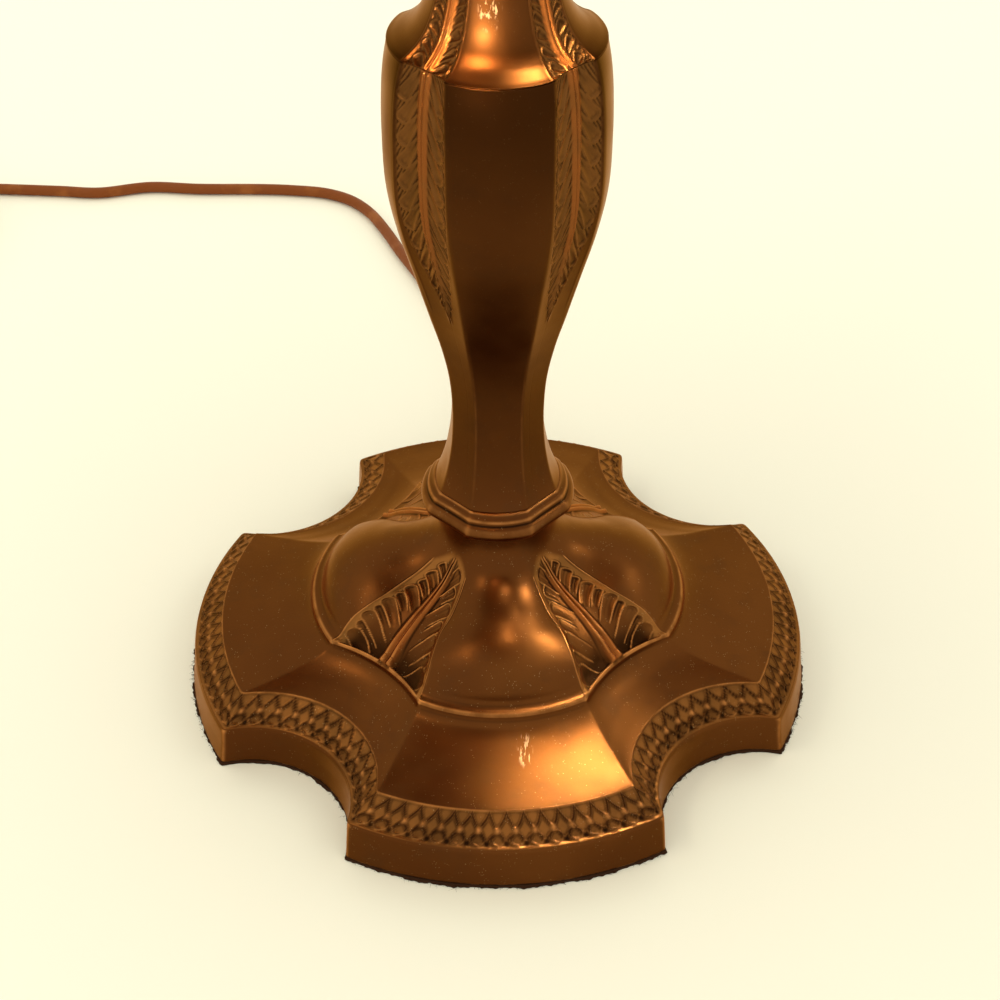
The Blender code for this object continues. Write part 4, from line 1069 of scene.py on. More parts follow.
def make_leafed_casting(name, node, segments, inner, wide, diagonal, leaf_at):
    """A stem casting with a leaf on each diagonal face. leaf_at gives relief, leaf and vein for a face."""
    lobed = Lobed(wide, diagonal)
    rows, breaks = fine_rows([(level_rows(part), spacing) for part, spacing in segments])
    points = round_breaks(round_corners(lobed.grid(rows), 16), breaks, 3, 3)
    normals = grid_normals(points)
    across, half, up = surface_measures(points, lobed, 0)
    total = up[-1]
    shift = np.zeros(points.shape[:2])
    leaf = np.zeros_like(shift)
    vein = np.zeros_like(shift)
    for side in range(1, SIDE_COUNT, 2):
        start, end = lobed.spans[side]
        part = leaf_at(across[:, start:end], half[:, start:end], up[:, start:end], total[start:end], side)
        shift[:, start:end], leaf[:, start:end], vein[:, start:end] = part
    points = points + normals * shift[..., None] * MM
    values = painted(points, grid_normals(points), leaf, vein, 2, 0.12)
    add_casting(name, node, lobed, points, values, inset_rows(inner[::-1]))


def make_stem():
    """The faceted stem, plain up to its waist, with a leaf hanging down each diagonal face."""
    plain, leafed = STEM_ROWS[:8], STEM_ROWS[8:]
    make_leafed_casting(
        "stem", "stem_body", ((plain, 1.2), (leafed, 0.42)), STEM_ROWS[::2], 88, 76,
        lambda x, half, up, total, side: stem_leaf(x, half, total - up, side),
    )


def make_neck():
    """The neck, with a leaf climbing each diagonal face."""
    make_leafed_casting(
        "neck", "stem_neck", ((NECK_ROWS, 0.45),), NECK_ROWS[::2], 72, 64,
        lambda x, half, up, total, side: neck_leaf(x, half, up),
    )


# ---------------------------------------------------------------- felt
FELT_T = 1.5 * MM
FIBRE_COUNT = 1300        # before the thin places are picked out


def make_felt():
    """The felt under the foot: a pad with a ragged edge, and loose fibres that stick out of it."""
    lobed = Lobed(*FOOT_COLUMNS)
    base = FOOT_WALL[0]
    rim = lobed.grid(np.array([(base[0], 0.0, base[2], 0.0, base[4], 0.0, base[6])]))[0]
    out = rim / np.linalg.norm(rim, axis=1, keepdims=True)
    turn = np.arange(len(rim)) * 2 * np.pi / len(rim)
    ragged = np.zeros(len(rim))
    for waves, size, start in ((23, 0.25, 0.3), (61, 0.20, 1.9), (149, 0.16, 4.1), (307, 0.12, 2.2)):
        ragged += size * np.sin(waves * turn + start + 1.5 * np.sin(7 * turn))
    stations = (
        (-1.0, 0.0, 0.10), (0.0, 0.02, 0.30), (0.4, 0.30, 1.2), (0.5, 0.80, 1.2), (0.1, 1.30, 0.8),
        (-0.6, 1.50, 0.1),
    )
    hub = 0.0005
    rings = [np.column_stack((out[:, 0:2] * hub, np.zeros(len(rim))))]
    for push, height, share in stations:
        ring = rim + out * ((push + ragged * share) * MM)[:, None]
        ring[:, 2] = height * MM
        rings.append(ring)
    rings.append(np.column_stack((out[:, 0:2] * hub, np.full(len(rim), FELT_T))))
    add_piece("felt", grid_mesh("felt", np.stack(rings)), "felt", replaces=("felt_pad",))
    make_fibres(rim, out)


def make_fibres(rim, out):
    """Loose fibres that curl out of the felt's edge, in clumps. Each is a thin three-sided spike."""
    rng = np.random.default_rng(11)
    at = rng.integers(0, len(rim), FIBRE_COUNT)
    clump = 0.5 + 0.5 * np.sin(at * 0.031 + 2.0 * np.sin(at * 0.011))
    keep = rng.random(FIBRE_COUNT) < 0.25 + 0.75 * clump
    at = at[keep]
    count = len(at)
    root = rim[at].copy()
    root[:, 2] = rng.uniform(0.1, 1.3, count) * MM
    root += out[at] * 0.0004
    along = np.roll(rim, -1, axis=0)[at] - rim[at]
    along /= np.linalg.norm(along, axis=1, keepdims=True)
    way = out[at] + along * rng.normal(0, 0.9, (count, 1))
    way[:, 2] = rng.uniform(-0.25, 0.55, count)
    way /= np.linalg.norm(way, axis=1, keepdims=True)
    curl = along * rng.normal(0, 0.6, (count, 1))
    curl[:, 2] = rng.uniform(-0.5, 0.3, count)
    length = rng.gamma(2.2, 0.36, count)[:, None] * MM
    width = rng.uniform(0.045, 0.085, count)[:, None] * MM
    side_a = np.cross(way, (0.0, 0.0, 1.0))
    side_a /= np.linalg.norm(side_a, axis=1, keepdims=True)
    side_b = np.cross(way, side_a)
    verts = []
    for share, thin in ((0.0, 1.0), (0.5, 0.8), (1.0, 0.25)):
        middle = root + (way * share + curl * share ** 2 * 0.5) * length
        middle[:, 2] = np.maximum(middle[:, 2], 0.0001)
        for corner in range(3):
            angle = corner * 2 * np.pi / 3
            verts.append(middle + (side_a * math.cos(angle) + side_b * math.sin(angle)) * width * thin)
    verts = np.stack(verts, axis=1).reshape(-1, 3)
    faces = []
    for fibre in range(count):
        first = 9 * fibre
        for ring in (0, 3):
            for corner in range(3):
                after = (corner + 1) % 3
                faces.append((first + ring + corner, first + ring + after,
                              first + ring + 3 + after, first + ring + 3 + corner))
        faces.append((first + 2, first + 1, first))
        faces.append((first + 6, first + 7, first + 8))
    add_piece("felt_fibres", mesh_of("felt_fibres", verts, faces), "felt")


# ---------------------------------------------------------------- shells
class Shells:
    """Collects closed shells, with their patina values, into one mesh."""

    def __init__(self):
        self.verts = []
        self.faces = []
        self.values = []
        self.count = 0

    def add_grid(self, points, values=None, close_rows=True, flip=False):
        """A grid closed round its columns. Its last row joins its first, or both ends are capped.
        A row that has shrunk to a point becomes one vertex."""
        rows, columns = points.shape[:2]
        number = np.arange(rows * columns).reshape(rows, columns)
        for row in range(rows):
            if np.ptp(points[row], axis=0).max() < 1e-7:
                number[row] = number[row, 0]
        used, compact = np.unique(number, return_inverse=True)
        number = compact.reshape(rows, columns) + self.count
        self.verts.append(points.reshape(-1, 3)[used])
        if values is None:
            values = np.zeros((rows, columns, 4))
        self.values.append(values.reshape(-1, 4)[used])
        self.count += len(used)
        faces = []
        for row in range(rows if close_rows else rows - 1):
            low = number[row].tolist()
            high = number[(row + 1) % rows].tolist()
            for j in range(columns):
                k = (j + 1) % columns
                corners = list(dict.fromkeys((low[j], low[k], high[k], high[j])))
                if len(corners) > 2:
                    faces.append(corners)
        if not close_rows:
            faces.append(number[0].tolist()[::-1])
            faces.append(number[-1].tolist())
        self.faces.extend([face[::-1] for face in faces] if flip else faces)

    def mesh(self, name, sharp=None):
        made = mesh_of(name, np.concatenate(self.verts), self.faces, sharp)
        paint(made, np.concatenate(self.values))
        return made


def placed(points, matrix):
    """The points moved by a matrix, if there is one."""
    if matrix is None:
        return points
    table = np.array(matrix)
    return points @ table[:3, :3].T + table[:3, 3]


def rounded(profile, reach):
    """Turns each corner of a closed profile over in about the reach, where there is room for it."""
    made = []
    count = len(profile)
    for i in range(count):
        before, here, after = (np.array(profile[(i + k) % count], dtype=float) for k in (-1, 0, 1))
        back = before - here
        ahead = after - here
        if here[0] < 1e-7 or min(np.linalg.norm(back), np.linalg.norm(ahead)) < 1e-7:
            made.append(here)
            continue
        first = here + back * min(reach / np.linalg.norm(back), 0.35)
        last = here + ahead * min(reach / np.linalg.norm(ahead), 0.35)
        made.extend((first, 0.25 * first + 0.5 * here + 0.25 * last, last))
    return np.array(made)


def split_long(profile, spacing):
    """Adds points to a closed profile so that no step is longer than the spacing."""
    made = []
    for here, after in zip(profile, np.roll(profile, -1, axis=0)):
        on_axis = here[0] < 1e-7 and after[0] < 1e-7
        count = 1 if on_axis else max(1, math.ceil(np.linalg.norm(after - here) / spacing))
        made.extend(here + (after - here) * k / count for k in range(count))
    return np.array(made)


def smooth_profile(profile, samples):
    """A smooth curve through a profile's points."""
    table = np.asarray(profile, dtype=float)
    return smooth_table(table, np.linspace(0, len(table) - 1, samples))


def shell_profile(outer, thickness):
    """A closed profile: an open outer line, then the same line moved inwards and run backwards."""
    outer = np.asarray(outer, dtype=float)
    way = np.gradient(outer, axis=0)
    out = np.column_stack((-way[:, 1], way[:, 0]))
    out /= np.maximum(np.linalg.norm(out, axis=1, keepdims=True), 1e-12)
    inner = outer - out * thickness
    inner[outer[:, 0] < 1e-7, 0] = 0.0
    inner[:, 0] = np.maximum(inner[:, 0], 0.0)
    return np.vstack((outer, inner[::-1]))


def in_mm(pairs, base=0.0):
    """Profile points from pairs of radius and height in mm, the heights counted from a base in metres."""
    return [(radius * MM, base + height * MM) for radius, height in pairs]


def turned_grid(profile, steps=64, reach=0.0003, spacing=0.004, shape=None):
    """The grid of a turned part. Its profile runs down its outer side and, if hollow, back up inside."""
    fine = split_long(rounded(profile, reach), spacing)
    points = revolve(fine, steps)[::-1]
    return points if shape is None else shape(points)


def turned_piece(name, node, profile, slot, body="lamp", matrix=None, **options):
    """A turned part as a finished piece. The options are those of turned_grid."""
    points = turned_grid(profile, **options)
    shells = Shells()
    values = None
    if slot == "patina_bronze":
        blank = np.zeros(points.shape[:2])
        values = painted(points, grid_normals(points), blank, blank, 1)
    shells.add_grid(placed(points, matrix), values)
    add_piece(name, shells.mesh(name), slot, body, (node,))


def round_measures(points):
    """Angle and radius about Z, and height."""
    x, y, z = points[..., 0], points[..., 1], points[..., 2]
    return np.arctan2(y, x), np.hypot(x, y), z


def regrown(points, radius, grown, smallest):
    """The points with each radius changed to the grown one, where it is more than the smallest."""
    scale = np.where(radius > smallest, grown / np.maximum(radius, 1e-6), 1.0)
    return points * np.stack((scale, scale, np.ones_like(scale)), axis=-1)


def thread(low, high, pitch, depth):
    """A helical thread between two heights, as a change to a turned grid."""
    def shape(points):
        angle, radius, height = round_measures(points)
        place = ease(low, low + 0.6 * pitch, height) * ease(high, high - 0.6 * pitch, height)
        wave = np.cos(angle - 2 * np.pi * height / pitch)
        return regrown(points, radius, radius + depth * wave * place, 1e-6)
    return shape


def flutes(low, high, count, depth):
    """Upright rounded flutes between two heights, as a change to a turned grid."""
    def shape(points):
        angle, radius, height = round_measures(points)
        fade = 0.15 * (high - low)
        place = ease(low, low + fade, height) * ease(high, high - fade, height)
        grown = radius - depth * place * (1 - np.abs(np.sin(angle * count / 2)))
        return regrown(points, radius, grown, 2 * depth)
    return shape


# ---------------------------------------------------------------- neck cap and cluster
def make_neck_cap():
    bottom = NECK_TOP + GAP
    outside = in_mm((
        (8.0, 10.5), (9.3, 9.6), (9.6, 8.4), (9.0, 7.7), (9.3, 6.8), (10.6, 6.0), (13.4, 5.2), (14.3, 4.6),
        (15.0, 4.0), (16.1, 3.7), (17.1, 2.8), (17.2, 1.6), (16.6, 0.4), (15.8, 0.0),
    ), bottom)
    profile = ((PIPE_HOLE, outside[0][1]), *outside, (PIPE_HOLE, bottom))
    turned_piece("neck_cap_cast", "neck_cap", profile, "patina_bronze", steps=96)


def make_cluster():
    """The pipe through the stem, the casting that holds both sockets, the riser and the shade's seat."""
    outer, inner = PIPE_R - 0.0002, 0.0036
    pipe = ((outer, PIPE_TOP), (outer, PIPE_BOTTOM), (inner, PIPE_BOTTOM), (inner, PIPE_TOP))
    turned_piece("pipe_threaded", "center_pipe", pipe, "zinc_steel", steps=32, spacing=0.00035,
                 shape=thread(PIPE_TOP - 0.030, PIPE_TOP, 0.00094, 0.0002))
    outside = in_mm((
        (5.8, 20.0), (6.4, 19.0), (6.0, 17.8), (7.0, 16.6), (9.6, 14.4), (12.5, 12.0), (14.8, 9.0),
        (16.0, 6.0), (16.8, 5.0), (16.8, 3.5), (16.3, 2.8), (16.3, -1.4), (16.8, -2.1), (16.8, -3.4),
        (15.8, -4.4), (14.2, -7.4), (12.0, -10.2), (9.6, -12.4), (9.0, -13.2), (9.4, -14.2), (9.0, -15.0),
    ), CLUSTER_Z)
    profile = (
        (RISER_R + GAP, outside[0][1]), *outside, (PIPE_R + GAP, outside[-1][1]),
        (PIPE_R + GAP, CLUSTER_Z + 0.0080), (RISER_R + GAP, CLUSTER_Z + 0.0115),
    )
    turned_piece("cluster_casting", "cluster_body", profile, "socket_brass", steps=96)
    bottom = CLUSTER_Z + 0.0130
    riser = ((0.0, RISER_TOP), (RISER_R, RISER_TOP), (RISER_R, bottom), (0.0, bottom))
    turned_piece("riser_threaded", "riser_rod", riser, "socket_brass", steps=32, spacing=0.0004,
                 shape=thread(RISER_TOP - 0.040, RISER_TOP, 0.0009, 0.00015))
    top = CAP_FLOOR_Z - GAP
    outside = in_mm((
        (10.0, 0.0), (11.0, -0.8), (11.0, -2.6), (9.8, -3.4), (6.6, -4.4), (6.0, -5.4), (6.0, -9.2),
        (5.4, -10.0),
    ), top)
    profile = ((RISER_R + GAP, top), *outside, (RISER_R + GAP, outside[-1][1]))
    turned_piece("shade_seat_turned", "shade_seat", profile, "socket_brass")


def socket_frame(side):
    """The frame of one socket: its own +Z runs from the cluster out along the socket."""
    return Matrix.Translation((0, 0, CLUSTER_Z)) @ Matrix.Rotation(side * SOCKET_TILT, 4, "Y")


def guide_frame(side):
    """The pull guide's frame: its own -Z points out of the socket's lower side."""
    lower = Matrix.Translation((0, 0, GUIDE_S)) @ Matrix.Rotation(-side * math.pi / 2, 4, "Y")
    return socket_frame(side) @ lower


def chain_top(side):
    """Where the pull link leaves its guide."""
    mouth = guide_frame(side) @ Vector((0, 0, GUIDE_END))
    return Vector((mouth.x + side * LINK_OUT, 0.0, mouth.z - LINK_DROP))


def bead_ring(radius, height, size):
    """Three profile points of a small bead round a tube, from above to below."""
    return ((radius, height + size), (radius + 0.75 * size, height), (radius, height - size))


def make_socket(word, side):
    """One socket with its arm and the guide of its pull chain."""
    matrix = socket_frame(side)
    arm = ((ARM_R, ARM_END), (ARM_R, ARM_START), (0.0030, ARM_START), (0.0030, ARM_END))
    turned_piece(f"{word}_arm_tube", f"{word}_arm", arm, "socket_brass", matrix=matrix, steps=40)
    cap = in_mm((
        (16.2, 44.0), (17.0, 44.0), (17.4, 43.4), (17.0, 42.7), (17.0, 38.6), (16.6, 36.2), (15.5, 33.8),
        (13.6, 31.8), (10.8, 30.3), (9.2, 29.3), (8.4, 27.7), (8.0, 25.8), (7.3, 25.0), (7.2, 24.0),
        (4.9, 24.0), (4.9, 30.0), (10.0, 31.2), (14.0, 33.6), (16.2, 38.5),
    ))
    turned_piece(f"{word}_cap", f"{word}_socket_cap", cap, "socket_brass", matrix=matrix, steps=80)
    shell = (
        (SHELL_R - SHEET, 0.0800), (SHELL_R + 0.0001, 0.0800), (SHELL_R + 0.0007, 0.0792),
        (SHELL_R + 0.0005, 0.0783), (SHELL_R, 0.0776), *bead_ring(SHELL_R, 0.0742, 0.0006),
        *bead_ring(SHELL_R, 0.0722, 0.0006), *bead_ring(SHELL_R, 0.0475, 0.0006),
        (SHELL_R, 0.0390), (SHELL_R - SHEET, 0.0390),
    )
    turned_piece(f"{word}_shell", f"{word}_socket_shell", shell, "socket_brass", matrix=matrix, steps=80)
    guide = in_mm((
        (1.9, 9.7), (4.2, 9.7), (4.4, 8.8), (4.2, 7.9), (3.2, 7.3), (2.8, 6.3), (2.8, 2.6), (3.1, 1.2),
        (3.5, 0.3), (3.4, 0.0), (2.2, 0.0),
    ), GUIDE_END)
    turned_piece(f"{word}_guide", f"{word}_pull_guide", guide, "socket_brass", matrix=guide_frame(side),
                 steps=40)


def make_pull(word, side):
    """The pull: a short link, a ball chain and a knob that hangs from it."""
    top = chain_top(side)
    at_link = Matrix.Translation(top)
    link = in_mm((
        (0.0, 0.0), (0.9, -0.2), (1.5, -0.8), (2.1, -1.8), (2.3, -3.0), (2.3, -5.2), (2.1, -6.2),
        (1.2, -6.9), (0.0, -7.0),
    ))
    turned_piece(f"{word}_link", f"{word}_pull_link", link, "chain_brass", f"{word}_switch_pull", at_link,
                 steps=32, reach=0.0002)
    at_hinge = Matrix.Translation(top + Vector((0, 0, -LINK_LENGTH)))
    beads = Shells()
    pitch = 0.00325
    count = int((CHAIN_LENGTH - 2 * CHAIN_R) / pitch)
    ball = [(CHAIN_R * math.sin(a), CHAIN_R * math.cos(a)) for a in np.linspace(0, math.pi, 9)]
    ball[0] = (0.0, CHAIN_R)
    ball[-1] = (0.0, -CHAIN_R)
    bar = ((0.0, 0.5 * pitch), (0.00035, 0.5 * pitch), (0.00035, -0.5 * pitch), (0.0, -0.5 * pitch))
    for bead in range(count + 1):
        drop = GAP + CHAIN_R + (CHAIN_LENGTH - GAP - 2 * CHAIN_R) * bead / count
        place = at_hinge @ Matrix.Translation((0, 0, -drop))
        beads.add_grid(placed(revolve(ball, 14)[::-1], place))
        if bead:
            beads.add_grid(placed(revolve(bar, 8)[::-1], place @ Matrix.Translation((0, 0, 0.5 * pitch))))
    add_piece(f"{word}_bead_chain", beads.mesh(f"{word}_bead_chain"), "chain_brass", f"{word}_chain",
              (f"{word}_pull_chain",))
    knob = in_mm((
        (0.0, -0.3), (1.4, -0.4), (1.9, -1.0), (1.8, -1.9), (2.2, -3.0), (3.4, -4.8), (4.4, -7.0),
        (5.0, -9.6), (5.2, -10.8), (4.9, -11.8), (4.5, -12.4), (3.7, -14.0), (2.6, -15.3), (1.3, -16.1),
        (0.0, -16.5),
    ), -CHAIN_LENGTH)
    turned_piece(f"{word}_knob", f"{word}_pull_knob", knob, "chain_brass", f"{word}_chain", at_hinge,
                 steps=48, reach=0.0003)


def make_bulb(word, side):
    """A frosted bulb with a threaded base."""
    matrix = socket_frame(side)
    outer = in_mm((
        (0.0, 149.0), (9.0, 147.4), (17.0, 142.7), (22.5, 135.3), (24.8, 126.8), (23.8, 117.5),
        (20.3, 108.0), (16.0, 98.5), (13.2, 89.5), (12.0, 82.0), (11.7, 74.5),
    ))
    line = smooth_profile(outer, 60)
    line[0] = outer[0]
    line[:, 0] = np.maximum(line[:, 0], 0.0)
    turned_piece(f"{word}_globe", f"{word}_bulb_glass", shell_profile(line, BULB_GLASS_T), "bulb_glass",
                 f"{word}_bulb", matrix, steps=72, reach=0.0001)
    base = in_mm((
        (12.3, 82.0), (12.9, 82.2), (13.0, 81.2), (12.7, 80.0), (12.5, 79.0), (12.5, 64.0), (11.8, 62.2),
        (8.2, 59.8), (5.0, 59.2), (4.2, 58.8), (3.0, 57.6), (0.0, 57.5), (0.0, 60.0), (7.8, 60.4),
        (11.2, 62.8), (11.9, 64.5), (11.9, 81.0),
    ))
    turned_piece(f"{word}_screw_base", f"{word}_bulb_base", base, "chain_brass", f"{word}_bulb", matrix,
                 steps=64, spacing=0.0005, shape=thread(0.0640, 0.0795, 0.00363, 0.0005))


# ---------------------------------------------------------------- shade
def shade_section(place):
    """Corner radius and height down the shade: place runs from 0 to 1 on the crown and to 2 on the skirt."""
    crown = np.clip(place, 0, 1)
    angle = CROWN_START + (CROWN_END - CROWN_START) * crown
    out = (np.sin(angle) - math.sin(CROWN_START)) / (math.sin(CROWN_END) - math.sin(CROWN_START))
    down = (math.cos(CROWN_START) - np.cos(angle)) / (math.cos(CROWN_START) - math.cos(CROWN_END))
    skirt = np.clip(place - 1, 0, 1)
    radius = SHADE_TOP_R + (CROWN_R - SHADE_TOP_R) * out + (RIM_R - CROWN_R) * skirt
    return radius, SHADE_TOP_Z + (CROWN_Z - SHADE_TOP_Z) * down + (RIM_Z - CROWN_Z) * skirt


def section_line(first, last, spacing):
    """Points (radius, height) down the shade, about a spacing apart, between two places."""
    places = np.linspace(first, last, 400)
    radius, height = shade_section(places)
    walked = np.concatenate(([0], np.cumsum(np.hypot(np.diff(radius), np.diff(height)))))
    even = np.linspace(0, walked[-1], max(3, round(walked[-1] / spacing) + 1))
    return np.stack((np.interp(even, walked, radius), np.interp(even, walked, height)), axis=1)


def side_points(side, across, apothem, height):
    """Points of one side of the shade: across is metres from the side's middle line."""
    turn = side * 2 * np.pi / SIDES
    x = across * math.cos(turn) + apothem * math.sin(turn)
    y = across * math.sin(turn) - apothem * math.cos(turn)
    return np.stack(np.broadcast_arrays(x, y, height), axis=-1)


def band_ring(line, per_side):
    """A grid right round the shade along a section line, from its lower end up."""
    line = line[::-1]
    radius = line[:, 0:1]
    share = -1 + 2 * np.arange(per_side) / per_side
    sides = []
    for side in range(SIDES):
        half = radius * HALF_SIDE
        apothem = radius * APOTHEM
        sides.append(side_points(side, share * half, apothem, line[:, 1:2]))
    return np.concatenate(sides, axis=1)


def add_band(shells, line, per_side, relief):
    """A closed ring of the frame: a decorated outer face and a plain inner one on the section line."""
    base = band_ring(line, per_side)
    rows, columns = base.shape[:2]
    normals = grid_normals(base)
    run = np.linalg.norm(np.diff(base[:, 0], axis=0), axis=1)
    up = np.concatenate(([0], np.cumsum(run))) / MM
    phase = np.broadcast_to(np.arange(columns) / per_side, base.shape[:2])
    height, leaf = relief(phase, np.broadcast_to(up[:, None], base.shape[:2]), up[-1])
    edge = ease(0.0, 0.8, up) * ease(up[-1], up[-1] - 0.8, up)
    lift = FRAME_T * (0.55 + 0.45 * edge[:, None]) + height * edge[:, None] * MM
    outer = base + normals * lift[..., None]
    values = painted(outer, grid_normals(outer), leaf, np.zeros_like(leaf), 1)
    inner = base[[-1, rows // 2, 0]]
    points = np.concatenate((outer, inner), axis=0)
    shells.add_grid(points, np.concatenate((values, np.zeros((3, columns, 4))), axis=0))


RIM_SIDE = 2 * RIM_R * HALF_SIDE / MM     # one side's width at the rim, in mm


def lattice_relief(phase, up, width):
    """The foot's lattice between two rails, round the shade's middle band."""
    repeats = 16
    pitch = RIM_SIDE / repeats
    relief, _, _, ridge = lattice(phase * repeats, up / width, pitch, width)
    rails = 0.55 * (bump_line(up - 1.3, 0.7) + bump_line(up - width + 1.3, 0.7))
    return relief + 0.5 + rails, 0.8 * (1 - 0.7 * ridge)


def bead_relief(phase, up, width):
    """A row of round beads between two rails."""
    repeats = 32
    place = (phase * repeats) % 1.0 - 0.5
    pitch = RIM_SIDE / repeats
    distance = np.hypot(place * pitch, up - width / 2)
    size = 0.42 * pitch
    beads = np.sqrt(np.clip(1 - (distance / size) ** 2, 0, 1)) * 1.3
    rails = 0.6 * (bump_line(up - 1.4, 0.6) + bump_line(up - width + 1.4, 0.6))
    return beads + rails, np.full_like(up, 0.5)


def ring_relief(phase, up, width):
    """Upright tongues round the shade's top ring."""
    tongue = np.abs(np.sin(np.pi * phase * 7)) ** 0.6
    height = 0.7 * tongue * ease(1.0, 3.5, up) * ease(width - 4.0, width - 7.0, up)
    return height, np.full_like(up, 0.6)


def line_normals(line):
    """The outward direction (radius, height) at each point of a section line that runs up the shade."""
    slope = np.gradient(line, axis=0)
    slope /= np.linalg.norm(slope, axis=1, keepdims=True)
    return slope[:, 1], -slope[:, 0]


RIB_COLUMNS = 23          # across a rib's outer face


def add_rib(shells, corner):
    """The rib down one corner of the shade, with a beaded cord on its ridge and leaf-shaped edges."""
    line = section_line(TOP_BAND * 0.5, 1 + RIM_BAND + 0.1, 0.0011)[::-1]
    radius, height = line[:, 0], line[:, 1]
    run = np.concatenate(([0], np.cumsum(np.linalg.norm(np.diff(line, axis=0), axis=1)))) / MM
    skirt_end = np.interp(CROWN_Z, height, run)
    reach = np.where(run > skirt_end, 22.0, 7.0)
    near = np.minimum(np.abs(run - skirt_end), np.minimum(run, run[-1] - run))
    flare = ease(reach, 0.0, near)
    scallop = np.abs(np.sin(np.pi * (run - skirt_end) / 9.0)) ** 0.5
    half_width = 5.2 + 0.8 * scallop + 4.5 * flare
    half_width = np.minimum(half_width, radius / MM * 0.26)
    outer_share = np.linspace(-1, 1, RIB_COLUMNS)
    inner_share = np.linspace(1, -1, 5)
    out_r, out_z = line_normals(line)
    loops = []
    worn = []
    beads = np.abs(np.sin(np.pi * run / 4.2))
    for shares, outside in ((outer_share, True), (inner_share, False)):
        for share in shares:
            side = corner if share >= 0 else corner - 1
            away = np.abs(share) * half_width
            lift = np.zeros_like(away)
            if outside:
                cord = np.sqrt(np.clip(1 - (away / 2.1) ** 2, 0, 1)) * (0.9 + 0.7 * beads)
                rail = 0.55 * bump_line(half_width - 1.0 - away, 0.55)
                veins = 0.22 * np.cos(2 * np.pi * (run / 3.0 + away / 3.4)) * ease(2.2, 3.0, away)
                lift = (FRAME_T / MM + veins) * ease(1.0, 0.80, abs(share)) + cord + rail
                lift = np.maximum(lift, 0.7)
            apothem = radius * APOTHEM + out_r * lift * MM
            half = (radius + out_r * lift * MM / APOTHEM) * HALF_SIDE
            across = -(half - away * MM) if share >= 0 else half - away * MM
            loops.append(side_points(side, across, apothem, height + out_z * lift * MM))
            worn.append(0.75 * ease(1.4, 0.4, away) * beads if outside else np.zeros_like(away))
    points = np.stack(loops, axis=1)
    values = np.zeros((*points.shape[:2], 4))
    values[..., 0] = np.stack(worn, axis=1)
    values[:, :RIB_COLUMNS, 2] = 0.6
    # A darker line in the crease beside the cord: patina and painted shade.
    values[:, :RIB_COLUMNS, 1] = 0.8 * bump_line(np.abs(outer_share) * half_width[:, None] - 2.6, 0.5)
    shells.add_grid(points, values, close_rows=False)


BAND_COLUMNS = 192        # across one side of a decorated band


def make_shade_frame():
    """The shade's casting: a top ring, a middle band, a rim band and six ribs."""
    shells = Shells()
    radius, height = shade_section(0.0)
    flat = np.array([(SHADE_TOP_R - SHADE_TOP_FLAT, SHADE_TOP_Z + SHADE_TOP_RISE)])
    top = np.vstack((
        flat + (np.array([(radius, height)]) - flat) * np.linspace(0, 1, 9)[:-1, None],
        section_line(0.0, TOP_BAND * 1.05, 0.0010),
    ))
    add_band(shells, top, 49, ring_relief)
    middle = section_line(MID_BAND_CROWN, 1 + MID_BAND_SKIRT, 0.00062)
    add_band(shells, middle, BAND_COLUMNS, lattice_relief)
    add_band(shells, section_line(1 + RIM_BAND, 2.0, 0.00062), BAND_COLUMNS, bead_relief)
    for corner in range(SIDES):
        add_rib(shells, corner)
    add_piece("shade_casting", shells.mesh("shade_casting"), "patina_bronze", "shade", ("shade_frame",))


def pane_grid(side, line, sunk, seed):
    """A bent pane as a grid of loops: round its outer face, over its edge and round its inner face."""
    line = line[::-1]
    radius, height = line[:, 0], line[:, 1]
    out_r, out_z = line_normals(line)
    half = radius * HALF_SIDE - GLASS_INSET
    shares = np.linspace(-1, 1, 27)
    loops = []
    for deep, order in ((sunk, shares), (sunk + GLASS_T, shares[::-1])):
        for share in order:
            across = half * share
            wave = 0.16 * np.sin(across * 190 + 1.3 * seed) * np.sin(height * 160 + seed)
            wave += 0.10 * np.sin(across * 410 - height * 260 + 2.1 * seed)
            wave = wave * (1 - share ** 8) * MM
            lift = wave - deep if deep == sunk else -wave - deep
            trim = 0.0004 * (abs(share) > 0.999) * np.sign(share)
            apothem = radius * APOTHEM + out_r * lift
            loops.append(side_points(side, across - trim, apothem, height + out_z * lift))
    return np.stack(loops, axis=1)


def make_panes():
    """Six crown panes and six skirt panes."""
    for side in range(SIDES):
        for word, first, end, slot in (
            ("crown", PANE_FIRST, PANE_LAST, "crown_glass"), ("skirt", 1.07, 1.93, "skirt_glass"),
        ):
            line = section_line(first, end, 0.0035 if word == "crown" else 0.0025)
            shells = Shells()
            shells.add_grid(pane_grid(side, line, GAP + 0.0002, side + (0.5 if word == "skirt" else 0)),
                            close_rows=False)
            name = f"{word}_glass_{side + 1}"
            add_piece(name, shells.mesh(name, 50), slot, "shade", (f"{word}_pane_{side + 1}",))


def make_shade_cap():
    """The cap that holds the shade down on its seat."""
    bore = RISER_R + GAP
    sheet = in_mm((
        (12.5, 1.0), (13.5, 1.4), (14.8, 1.2), (16.0, 0.6), (19.0, 0.1), (22.5, -1.1), (26.2, -2.7),
        (29.2, -4.4), (31.8, -6.2), (33.2, -7.2), (34.2, -7.4), (35.1, -8.0), (35.1, -9.0), (32.5, -9.0),
        (30.2, -6.6), (27.2, -5.0), (20.5, -2.0), (12.5, 0.0),
    ), CAP_FLOOR_Z)
    profile = ((bore, CAP_FLOOR_Z + CAP_T), *sheet, (bore, CAP_FLOOR_Z))
    turned_piece("shade_cap_cast", "shade_cap", profile, "patina_bronze", "shade", steps=180,
                 spacing=0.0007, shape=cap_petals)


